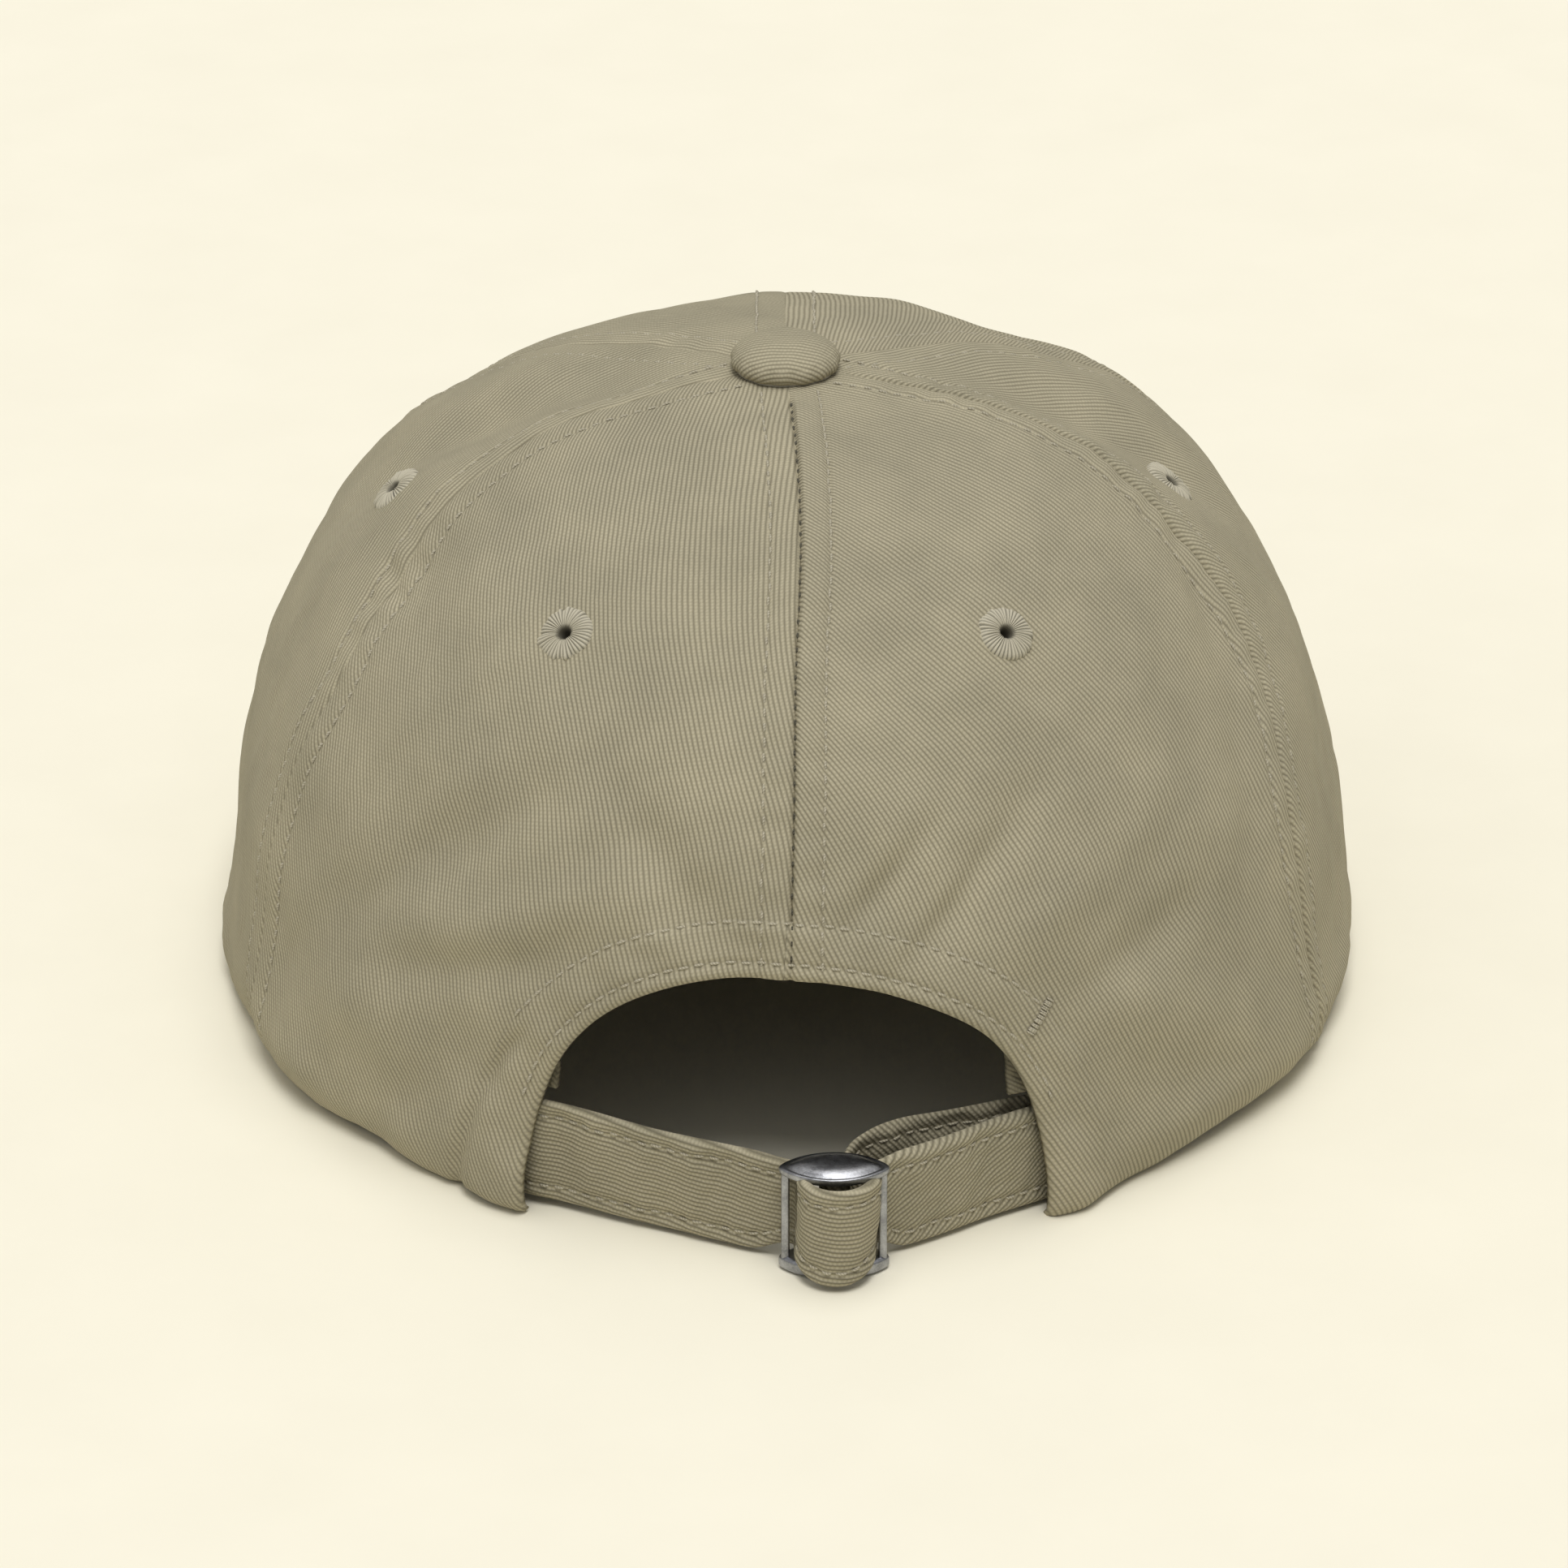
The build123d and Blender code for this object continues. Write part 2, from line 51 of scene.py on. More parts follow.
# Each seam's line: its angle from +X at heights above the rim
SEAMS = {
    "front": [(0, 90), (97, 90)],
    "front_left": [(0, 147), (60, 146), (97, 150)],
    "back_left": [(0, 206), (45, 206.5), (62, 208.5), (72, 206), (82, 202), (97, 198)],
    "back": [(0, 270.3), (50, 270.6), (80, 271.3), (97, 274)],
    "back_right": [(0, 334), (28, 332.5), (45, 333.5), (56, 338.5), (66, 342), (80, 343.5), (97, 350)],
    "front_right": [(0, 33), (60, 34), (97, 30)],
}
SEAM_GROOVE = 0.8
SEAM_GROOVES = {"back_left": 0.4, "back_right": 0.5}
PANELS = {
    "front_panel_right": ("front_right", "front"),
    "front_panel_left": ("front", "front_left"),
    "side_panel_left": ("front_left", "back_left"),
    "back_panel_left": ("back_left", "back"),
    "back_panel_right": ("back", "back_right"),
    "side_panel_right": ("back_right", "front_right"),
}
EYELETS = {
    "front_panel_right": 60.0,
    "front_panel_left": 120.0,
    "side_panel_left": 185.0,
    "back_panel_left": 240.0,
    "back_panel_right": 300.0,
    "side_panel_right": -1.0,
}
EYELET_HEIGHT = 79.0
FRONT_EYELET_DROP = 6.5
EYELET_HOLE = 2.0
EYELET_STITCHES = 40

# Soft folds: angle, height, turn of the fold's line from level, half-length, half-width, and how far it
# stands out
FOLDS = [
    (176, 88, 90, 26, 8, -3.4),
    (164, 86, 80, 18, 7, 0.8),
    (3, 88, 90, 26, 8, -3.0),
    (346, 84, 82, 20, 6, 0.8),
    (40, 80, 0, 14, 9, 1.4),
    (22, 71, 0, 12, 8, 1.2),
    (57, 83, 0, 14, 11, -1.5),
    (122, 83, 0, 18, 11, -1.5),
    (143, 79, 0, 10, 8, -1.3),
    (158, 69, 0, 12, 8, 0.7),
    (258, 56, -45, 17, 4.2, -1.9),
    (251, 63, -40, 18, 5, 1.0),
    (238, 56, 40, 15, 5, -1.5),
    (226, 42, 45, 22, 5, -1.2),
    (243, 45, 22, 22, 4.5, 1.4),
    (241, 37, 18, 16, 3.4, -1.6),
    (228, 24, 25, 24, 6, 1.1),
    (234, 14, 40, 20, 5, -0.9),
    (280, 54, 45, 9, 2.4, -1.6),
    (284, 50, 42, 10, 2.2, 1.3),
    (288, 53, 38, 17, 3.5, -1.7),
    (296, 46, 25, 22, 5, 1.2),
    (306, 37, 12, 13, 4, -1.5),
    (312, 22, -30, 24, 6, 1.2),
    (326, 46, 70, 14, 5, -1.1),
    (338, 72, 65, 12, 4.5, -1.4),
    (206, 76, 65, 12, 6, -1.2),
    (60, 50, 10, 30, 12, -1.2),
    (120, 52, -15, 28, 12, -1.1),
    (90, 40, 0, 34, 12, 1.0),
]

# Back opening
OPENING_HALF_WIDTH = 38.3
OPENING_HEIGHT = 41.6
OPENING_SIDE_POWER = 2.5
OPENING_TOP_POWER = 2.7
HEM_INNER_ROW = 2.2
HEM_OUTER_ROW = 7.7
HEM_OVERLAP = 5.0

# Visor
VISOR_HALF_WIDTH = 79.0
VISOR_FRONT = 166.0
VISOR_WIDEST_Y = 78.0
VISOR_RISE = 26.6
VISOR_BEND_RADIUS = 145.3
VISOR_TILT = 5.0
VISOR_ROOT_Y = 45.0
VISOR_THICKNESS = 3.7
VISOR_CLOTH = 0.8
RIM_LIFT_Y = 26.0
RIM_SLOPE = 0.35
VISOR_ROW_GAP = 7.6
VISOR_ROWS = [row * VISOR_ROW_GAP - 3.5 for row in range(1, 9)]
VISOR_PITCH = 3.1
VISOR_ROOT_FLARE = 1.8

# Button
BUTTON_FOOT = 97.75

# Linings
TAPE_WIDTH = 20.0
BAND_FOOT = 1.2
BAND_TOP = 31.0
BAND_END_FOOT = 19.0

# Straps and buckle
STRAP_FOOT = 0.7
STRAP_WIDTH = 16.2
STRAP_THICKNESS = 1.8
ANCHOR_THICKNESS = 1.1
STRAP_ROW = 2.5
STRAP_PINCH = 1.9
BAR_X = 7.1
BAR_Y = -102.2
FRAME_FOOT = 0.3
FRAME_TOP = 17.9
PLATE_THICKNESS = 2.0
PLATE_HALF_LENGTH = 7.8
PLATE_HALF_DEPTH = 4.2


def level_factor(height):
    """How far the crown has drawn in at a height, from 1 at the rim to 0 at the top."""
    share = np.clip(np.asarray(height, float) / CROWN_HEIGHT, 0, 1)
    return (1 - share**PROFILE_POWER) ** (1 / LEVEL_POWER)


HEIGHTS = CROWN_HEIGHT * np.sin(np.linspace(0, np.pi / 2, 4001))
FACTORS = level_factor(HEIGHTS)
STEPS = np.hypot(np.diff(HEIGHTS), np.diff(FACTORS) * (HALF_WIDTH + HALF_LENGTH) / 2)
ARCS = np.concatenate([[0], np.cumsum(STEPS)])
ARC_TOTAL = ARCS[-1]


def arc_at(height):
    """The distance up the crown's side to a height."""
    return np.interp(height, HEIGHTS, ARCS)


def smooth_line(values, radius):
    """A line of values, rounded off over a number of its steps."""
    kernel = np.exp(-np.linspace(-2, 2, 2 * radius + 1) ** 2)
    padded = np.concatenate([np.full(radius, values[0]), values, np.full(radius, values[-1])])
    return np.convolve(padded, kernel / kernel.sum(), "valid")


def seam_table(line):
    """A seam's angle at even steps of arc, smoothed."""
    heights = np.interp(np.linspace(0, ARC_TOTAL, 300), ARCS, HEIGHTS)
    return smooth_line(np.interp(heights, [h for h, a in line], [a for h, a in line]), 24)


SEAM_TABLES = {name: seam_table(line) for name, line in SEAMS.items()}


def seam_angle(name, arc):
    """A seam's angle at a distance up the crown's side."""
    return np.interp(arc, np.linspace(0, ARC_TOTAL, 300), SEAM_TABLES[name])


def bell(x, width):
    """A smooth bump of a half-width."""
    return np.exp(-((x / width) ** 2))


def ease(x, low, high):
    """0 below low, 1 above high and smooth between."""
    share = np.clip((x - low) / (high - low), 0, 1)
    return share * share * (3 - 2 * share)


def ripple(points, size, seed):
    """Irregular waves of about a size, mostly between -1 and 1, over an array of points."""
    rng = np.random.default_rng(seed)
    total = 0
    for _ in range(8):
        way = rng.normal(size=points.shape[-1])
        way *= 2 * np.pi / size * rng.uniform(0.6, 1.5) / np.linalg.norm(way)
        total = total + np.sin(points @ way + rng.uniform(0, 2 * np.pi))
    return total / 3


def crown_base(angle, arc):
    """Points of the even crown, its outward directions and its horizontal radius there."""
    angle, arc = np.broadcast_arrays(np.asarray(angle, float), np.asarray(arc, float))
    height = np.interp(arc, ARCS, HEIGHTS)
    factor = np.interp(arc, ARCS, FACTORS)
    turn = np.radians(angle)
    reach = factor / np.hypot(np.cos(turn) / HALF_WIDTH, np.sin(turn) / HALF_LENGTH)
    points = np.stack([reach * np.cos(turn), reach * np.sin(turn), height], -1)
    share = np.clip(height / CROWN_HEIGHT, 0, 0.99999)
    up = PROFILE_POWER / LEVEL_POWER * share ** (PROFILE_POWER - 1) / CROWN_HEIGHT
    up = up * (1 - share**PROFILE_POWER) ** (2 / LEVEL_POWER - 1)
    out = np.stack([points[..., 0] / HALF_WIDTH**2, points[..., 1] / HALF_LENGTH**2, up], -1)
    out /= np.linalg.norm(out, axis=-1, keepdims=True)
    return points, out, reach


def angle_gap(angle, other):
    """The signed turn from one angle to another, in degrees."""
    return (angle - other + 180) % 360 - 180


def fold_relief(angle, arc, reach):
    """How far the soft folds push the cloth out."""
    total = 0
    for at, height, turn, half_length, half_width, out in FOLDS:
        across = np.radians(angle_gap(angle, at)) * reach
        up = arc - arc_at(height)
        c, s = math.cos(math.radians(turn)), math.sin(math.radians(turn))
        total = total + out * bell(across * c + up * s, half_length) * bell(up * c - across * s, half_width)
    return total


def seam_relief(angle, arc, reach):
    """The line, the padded allowances, the pulled stitch rows and the puckers along each seam."""
    total = 0
    for number, name in enumerate(SEAMS):
        middle = seam_angle(name, arc)
        aside = np.radians(angle_gap(angle, middle)) * reach
        away = np.abs(aside)
        side = np.sign(aside)
        shown = 1 - 0.85 * name.startswith("front") * ease(arc, 75, 95)
        total = total - SEAM_GROOVES.get(name, SEAM_GROOVE) * shown * bell(away, 0.38)
        total = total + shown * (0.26 * bell(away - 2.2, 2.2) + 0.12 * side * bell(away - 1.2, 1.6))
        total = total - 0.34 * shown * bell(away - ROW_OFFSET, 0.5)
        patches = ripple(np.stack([arc, 0 * arc + number * 50], -1), 34, 20 + number)
        strength = np.clip(0.55 + 0.5 * patches, 0.1, 1.2)
        if name == "back":
            strength = strength * (0.25 + 1.1 * ease(arc, 42, 60) * (1 - ease(arc, 78, 92)))
        if name == "back_left":
            strength = strength * (0.35 + 1.6 * ease(arc, 55, 72) * (1 - ease(arc, 98, 112)))
        waves = np.sin(2 * np.pi * arc / PUCKER_PITCH + 0.9 * side + number)
        waves = waves + 0.6 * ripple(np.stack([arc, aside * 0.3], -1), 7, 60 + number)
        total = total + 0.2 * strength * waves * bell(away - 2.8, 2.9)
        if name == "back_right":
            rope = ease(arc, 38, 58) * (1 - ease(arc, 100, 125))
            total = total + rope * 0.2 * ripple(np.stack([arc, aside * 0.8], -1), 8.5, 71) * bell(away, 5.5)
            total = total + rope * 0.07 * np.sin(2 * np.pi * arc / 3.4 + aside * 0.7) * bell(aside + 0.9, 1.5)
    return total * ease(reach, 7, 16)


def run_along(line):
    """The distance along a line of points to each of them."""
    return np.concatenate([[0], np.cumsum(np.linalg.norm(np.diff(line, axis=0), axis=1))])


def resample(line, count):
    """A line of points, respaced to even steps."""
    run = run_along(line)
    at = np.linspace(0, run[-1], count)
    return np.stack([np.interp(at, run, line[:, k]) for k in range(line.shape[1])], -1)


def left_of(line):
    """The directions at right angles to a plane line of points, to the left of its way."""
    ahead = np.gradient(line, axis=0)
    ahead /= np.linalg.norm(ahead, axis=1, keepdims=True)
    return np.stack([-ahead[:, 1], ahead[:, 0]], -1)


def opening_line():
    """The edge of the back opening, from the left foot over the arch to the right foot: x and height."""
    turn = np.linspace(np.pi, 0, 400)
    across = np.sign(np.cos(turn)) * np.abs(np.cos(turn)) ** (2 / OPENING_SIDE_POWER) * OPENING_HALF_WIDTH
    height = np.sin(turn) ** (2 / OPENING_TOP_POWER) * OPENING_HEIGHT
    height = height - 1.3 * bell(across - 21, 13) + 0.5 * bell(across + 10, 12)
    side = np.linspace(-10, -0.5, 30)
    left = np.stack([np.full(30, -OPENING_HALF_WIDTH), side], -1)
    right = np.stack([np.full(30, OPENING_HALF_WIDTH), side[::-1]], -1)
    return resample(np.concatenate([left, np.stack([across, height], -1), right]), 260)


OPENING = opening_line()


def opening_distance(points):
    """How far points are outside the back opening's edge, seen from behind; negative within it."""
    flat = points.reshape(-1, 3)
    distance = np.full(len(flat), 99.0)
    near = np.nonzero((flat[:, 1] < -40) & (np.abs(flat[:, 0]) < 60) & (flat[:, 2] < 62))[0]
    if len(near):
        spot = flat[near][:, [0, 2]]
        gap = np.full(len(near), 99.0)
        for start in range(0, len(near), 4000):
            part = spot[start : start + 4000]
            gap[start : start + 4000] = np.sqrt(((part[:, None] - OPENING[None]) ** 2).sum(-1)).min(1)
        top = np.interp(spot[:, 0], OPENING[:, 0], OPENING[:, 1], left=-99, right=-99)
        inside = spot[:, 1] < top
        distance[near] = np.where(inside, -gap, gap)
    return distance.reshape(points.shape[:-1])


def hem_relief(points):
    """The double cloth round the back opening, its pulled stitch rows over the arch and its rounded edge."""
    away = opening_distance(points)
    arch = ease(points[..., 2], 24, 32)
    total = 0.3 * (1 - ease(away, HEM_OUTER_ROW - 0.3, HEM_OUTER_ROW + 1.2)) * arch
    total = total + 0.5 * bell(away - 4.5, 3.6) * (1 - arch)
    total = total - 0.34 * arch * (bell(away - HEM_INNER_ROW, 0.5) + bell(away - HEM_OUTER_ROW, 0.5))
    total = total + 0.25 * ripple(points, 9, 91) * bell(away - 5, 5)
    crease = 5.0 + (36 - points[..., 2]) * 0.16
    total = total - 1.2 * bell(away - crease, 1.1) * (1 - arch) * (points[..., 0] < 0)
    return total - 0.8 * (1 - ease(away, -0.4, 0.9)), away


def rim_wave(angle):
    """How far the rim lifts from the floor round the back and sides."""
    turn = np.radians(angle)
    around = np.stack([np.cos(turn), np.sin(turn)], -1) * HALF_WIDTH
    lift = 0.15 + 0.3 * ripple(around, 46, 5) + 0.3 * ripple(around, 21, 6)
    lift = lift + 0.9 * bell(angle_gap(angle, 318), 10) + 0.5 * bell(angle_gap(angle, 222), 9)
    return np.clip(lift, 0.05, 2.6)


def visor_under(x, y):
    """The height of the visor's underside."""
    bend = VISOR_BEND_RADIUS - np.sqrt(VISOR_BEND_RADIUS**2 - np.asarray(x) ** 2)
    return VISOR_RISE - bend - (y - VISOR_ROOT_Y) * math.tan(math.radians(VISOR_TILT))


def rim_foot(angle):
    """The height of the crown's rim: on the floor behind, and on the visor's root in front."""
    points = crown_base(angle, 0.0)[0]
    x, y = points[..., 0], points[..., 1]
    slope = (y - RIM_LIFT_Y) * RIM_SLOPE
    return np.clip(np.minimum(visor_under(x, y), slope), 0, None)


def crown(angle, arc, depth=0.0, seams=True):
    """Points on the worn crown, depth mm inside its outer face, and its outward directions."""
    points, out, reach = crown_base(angle, arc)
    angle, arc = np.broadcast_arrays(np.asarray(angle, float), np.asarray(arc, float))
    soft = 0.45 * ripple(points, 62, 1) + 0.45 * ripple(points, 27, 2)
    lift = soft * ease(reach, 10, 30) * 0.8 + fold_relief(angle, arc, reach)
    lift = lift - 0.8 * bell(angle_gap(angle, 182), 14) * bell(arc - 24, 26)
    corners = bell(angle_gap(angle, 212), 13) + bell(angle_gap(angle, 328), 14)
    ends = 1.4 * bell(angle_gap(angle, 244), 5) + 2.2 * bell(angle_gap(angle, 296), 5)
    lift = lift + 1.7 * corners * bell(arc - 7, 12)
    lift = lift + ends * bell(arc, 22)
    from_back = np.abs(angle_gap(angle, 270))
    behind = 1 - ease(from_back, 110, 135)
    lift = lift - 1.7 * np.clip(1 - arc / 9, 0, 1) ** 2 * behind * ease(from_back, 24, 40)
    lift = lift + 0.5 * bell(arc - 6, 5) * behind * (1 + 0.6 * ripple(points, 17, 9))
    if seams:
        lift = lift + seam_relief(angle, arc, reach)
        hem, away = hem_relief(points)
        lift = lift + hem
        lift = lift + 0.1 * ripple(points, 7, 3)
        foot_arc = arc - arc_at(rim_foot(angle))
        lift = lift - 1.1 * np.clip(1 - foot_arc / 2.2, 0, 1) ** 2
    points = points + out * (lift - depth)[..., None]
    points[..., 2] += rim_wave(angle) * np.exp(-arc / 14) * behind
    fall = FRONT_FALL * ease(points[..., 1], 8, 42) * ease(arc, 80, 115)
    points[..., 2] += BACK_RISE * ease(arc, 35, 120) - fall
    return points, out


def seam_foot(name):
    """The arc at which a seam starts, on the rim."""
    return arc_at(float(rim_foot(np.array([SEAMS[name][0][1]]))[0]))


def shell(outer, inner, keep=None):
    """Vertices and faces of a sheet with thickness from its two grids, of the cells that keep names."""
    rows, cols = outer.shape[:2]
    number = np.arange(rows * cols).reshape(rows, cols)
    cell = np.stack([number[:-1, :-1], number[:-1, 1:], number[1:, 1:], number[1:, :-1]], -1)
    cell = cell.reshape(-1, 4) if keep is None else cell[keep]
    count = rows * cols
    edges = np.concatenate([cell[:, [0, 1]], cell[:, [1, 2]], cell[:, [2, 3]], cell[:, [3, 0]]])
    key = np.sort(edges, axis=1) @ [count, 1]
    _, first, uses = np.unique(key, return_index=True, return_counts=True)
    border = edges[first[uses == 1]]
    side = np.stack([border[:, 1], border[:, 0], border[:, 0] + count, border[:, 1] + count], -1)
    faces = np.concatenate([cell, cell[:, ::-1] + count, side])
    verts = np.concatenate([outer.reshape(-1, 3), inner.reshape(-1, 3)])
    return verts, faces


def tube_faces(rows, cols):
    """The faces between rings of points, closed round each ring."""
    number = np.arange(rows * cols).reshape(rows, cols)
    shifted = np.roll(number, -1, axis=1)
    return np.stack([number[:-1], shifted[:-1], shifted[1:], number[1:]], -1).reshape(-1, 4)


def cloth_object(name, verts, faces, uvs, material):
    """A mesh object from points in mm, with its cloth coordinates in mm as its UV map."""
    used, packed = np.unique(np.asarray(faces).ravel(), return_inverse=True)
    faces = packed.reshape(np.asarray(faces).shape)
    verts = np.asarray(verts)[used]
    mesh = bpy.data.meshes.new(name)
    mesh.from_pydata((verts * MM).tolist(), [], faces.tolist())
    corner = np.empty(len(mesh.loops), np.int32)
    mesh.loops.foreach_get("vertex_index", corner)
    layer = mesh.uv_layers.new(name="cloth")
    layer.data.foreach_set("uv", np.asarray(uvs)[used][corner].astype(np.float32).ravel())
    mesh.shade_smooth()
    mesh.materials.append(material)
    mesh.update()
    obj = bpy.data.objects.new(name, mesh)
    bpy.context.scene.collection.objects.link(obj)
    return obj


def dress(obj, slot, *nodes, body="crown"):
    """Lets a piece ride a body in the place of CAD nodes. The slot is not used."""
    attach(obj, body)
    if nodes:
        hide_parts(*nodes)


def join_parts(parts):
    """Several (vertices, faces, uvs) as one."""
    verts, faces, uvs, count = [], [], [], 0
    for v, f, t in parts:
        verts.append(v)
        faces.append(np.asarray(f) + count)
        uvs.append(t)
        count += len(v)
    return np.concatenate(verts), np.concatenate(faces), np.concatenate(uvs)


def cloth_area(points, keep=slice(None)):
    """The area of a grid of points, or of the cells that keep names, in square metres."""
    cells = np.cross(np.diff(points, axis=0)[:, :-1], np.diff(points, axis=1)[:-1])
    return float(np.linalg.norm(cells, axis=-1)[keep].sum()) * MM * MM


def stitches(runs, radius=0.22, pitch=STITCH_PITCH, fill=0.8):
    """Rows of thread stitches as (vertices, faces, uvs), from runs of (points, outward directions)."""
    wide = radius * np.array([0.45, 0.95, 1.0, 0.95, 0.45])
    along = np.linspace(-1, 1, len(wide))
    turn = np.linspace(0, 2 * np.pi, 6, endpoint=False)
    parts = []
    for number, (line, out) in enumerate(runs):
        run = run_along(line)
        count = max(1, round(run[-1] / pitch))
        rng = np.random.default_rng(number)
        for k in range(count):
            middle = (k + 0.5) * run[-1] / count
            half = fill * pitch / 2 * (1 + 0.06 * rng.normal())
            at = np.clip(middle + along * half, 0, run[-1])
            centre = np.stack([np.interp(at, run, line[:, i]) for i in range(3)], -1)
            up = np.array([np.interp(middle, run, out[:, i]) for i in range(3)])
            ahead = centre[-1] - centre[0]
            ahead /= np.linalg.norm(ahead)
            side = np.cross(ahead, up)
            side /= np.linalg.norm(side)
            arch = radius * (0.7 - 1.7 * along**4)
            centre = centre + up * arch[:, None] + side * 0.07 * rng.normal()
            ring = np.cos(turn)[:, None] * side + np.sin(turn)[:, None] * up
            body = centre[:, None] + wide[:, None, None] * ring[None]
            uvs = np.stack(np.broadcast_arrays(turn[None] * radius, at[:, None]), -1).reshape(-1, 2)
            parts.append((body.reshape(-1, 3), tube_faces(len(wide), len(turn)), uvs))
    return join_parts(parts)


# Materials


class Nodes:
    """Short names for building one material's node tree."""

    def __init__(self, name):
        self.material = bpy.data.materials.new(name)
        self.material.use_nodes = True
        self.tree = self.material.node_tree
        self.shader = self.tree.nodes["Principled BSDF"]

    def cloth_map(self):
        """The cloth coordinates, and each of them alone."""
        uv = self.new("UVMap", uv_map="cloth").outputs["UV"]
        parts = self.new("SeparateXYZ")
        self.put(parts.inputs[0], uv)
        return uv, parts.outputs[0], parts.outputs[1]

    def surface(self, **values):
        """Sets the shader's inputs, with their names' spaces as underscores."""
        for name, value in values.items():
            self.put(self.shader.inputs[name.replace("_", " ")], value)

    def new(self, kind, **settings):
        node = self.tree.nodes.new("ShaderNode" + kind)
        for key, value in settings.items():
            setattr(node, key, value)
        return node

    def put(self, socket, value):
        if isinstance(value, bpy.types.NodeSocket):
            self.tree.links.new(value, socket)
        else:
            socket.default_value = value

    def math(self, operation, a, b=0.0, c=0.0):
        node = self.new("Math", operation=operation)
        for socket, value in zip(node.inputs, (a, b, c)):
            self.put(socket, value)
        return node.outputs[0]

    def noise(self, vector, scale, detail=3.0, roughness=0.55):
        node = self.new("TexNoise")
        self.put(node.inputs["Vector"], vector)
        self.put(node.inputs["Scale"], scale)
        self.put(node.inputs["Detail"], detail)
        self.put(node.inputs["Roughness"], roughness)
        return node.outputs["Fac"]

    def ramp(self, factor, low, high, start=0.0, end=1.0):
        node = self.new("ValToRGB")
        node.color_ramp.elements[0].position = start
        node.color_ramp.elements[0].color = (*low, 1)
        node.color_ramp.elements[1].position = end
        node.color_ramp.elements[1].color = (*high, 1)
        self.put(node.inputs["Fac"], factor)
        return node.outputs["Color"]

    def mix(self, factor, a, b, blend="MIX"):
        node = self.new("Mix", data_type="RGBA", blend_type=blend)
        self.put(node.inputs[0], factor)
        self.put(node.inputs[6], a)
        self.put(node.inputs[7], b)
        return node.outputs[2]

    def bump(self, height, distance, strength=1.0):
        node = self.new("Bump")
        self.put(node.inputs["Height"], height)
        self.put(node.inputs["Distance"], distance)
        self.put(node.inputs["Strength"], strength)
        self.put(self.shader.inputs["Normal"], node.outputs["Normal"])


def twill(name, light, dark, turn=27.0, rib=0.72, dot=0.6, depth=0.00012, worn=0.5, gap=0.6):
    """A cotton twill: ribs across the cloth map at turn degrees from its length, broken into short floats."""
    n = Nodes(name)
    uv, u, v = n.cloth_map()
    c, s = math.cos(math.radians(turn)), math.sin(math.radians(turn))
    drift = n.math("MULTIPLY", n.math("SUBTRACT", n.noise(uv, 0.03, 1.0), 0.5), 1.6)
    drift = n.math("ADD", drift, n.math("MULTIPLY", n.math("SUBTRACT", n.noise(uv, 0.8, 1.0), 0.5), 0.12))
    across = n.math("ADD", n.math("MULTIPLY", u, c), n.math("ADD", n.math("MULTIPLY", v, s), drift))
    along = n.math("SUBTRACT", n.math("MULTIPLY", v, c), n.math("MULTIPLY", u, s))
    ribs = n.math("DIVIDE", across, rib)
    wave = n.math("MULTIPLY_ADD", n.math("COSINE", n.math("MULTIPLY", ribs, 2 * math.pi)), 0.5, 0.5)
    row = n.math("MULTIPLY", n.math("FLOOR", n.math("ADD", ribs, 0.5)), 0.37)
    floats = n.math("ADD", n.math("DIVIDE", along, dot), row)
    beads = n.math("MULTIPLY_ADD", n.math("COSINE", n.math("MULTIPLY", floats, 2 * math.pi)), 0.5, 0.5)
    fuzz = n.noise(uv, 6.0, 4.0, 0.7)
    height = n.math("MULTIPLY", n.math("POWER", wave, gap), n.math("MULTIPLY_ADD", beads, 0.3, 0.7))
    height = n.math("ADD", height, n.math("MULTIPLY", n.math("SUBTRACT", fuzz, 0.5), 0.5))
    n.bump(height, depth)
    weave = n.math("MULTIPLY_ADD", n.math("SUBTRACT", height, 0.45), 0.9, 0.5)
    cloth = n.ramp(weave, dark, light, 0.05, 0.95)
    patch = n.noise(uv, 0.045, 4.0, 0.6)
    shade = n.ramp(patch, (0.86, 0.86, 0.85), (1.08, 1.07, 1.05), 0.3, 0.7)
    cloth = n.mix(1.0, cloth, shade, "MULTIPLY")
    slub = n.ramp(n.noise(uv, 1.7, 3.0, 0.65), (0.9, 0.9, 0.9), (1.06, 1.06, 1.05), 0.3, 0.7)
    cloth = n.mix(worn, cloth, n.mix(1.0, cloth, slub, "MULTIPLY"))
    n.surface(Base_Color=cloth, Roughness=0.93, Specular_IOR_Level=0.18)
    n.surface(Sheen_Weight=0.12, Sheen_Roughness=0.5, Sheen_Tint=(*light, 1))
    return n.material


def thread(name, light, dark):
    """Twisted sewing thread."""
    n = Nodes(name)
    uv, u, v = n.cloth_map()
    twist = n.math("ADD", n.math("MULTIPLY", v, 14.0), n.math("MULTIPLY", u, 9.0))
    strands = n.math("MULTIPLY_ADD", n.math("SINE", twist), 0.5, 0.5)
    fuzz = n.noise(uv, 5.0, 3.0, 0.7)
    n.bump(n.math("ADD", strands, fuzz), 0.00005)
    tone = n.math("MULTIPLY_ADD", strands, 0.5, n.math("MULTIPLY", fuzz, 0.5))
    n.surface(Base_Color=n.ramp(tone, dark, light, 0.2, 0.8), Roughness=0.75, Sheen_Weight=0.1)
    return n.material


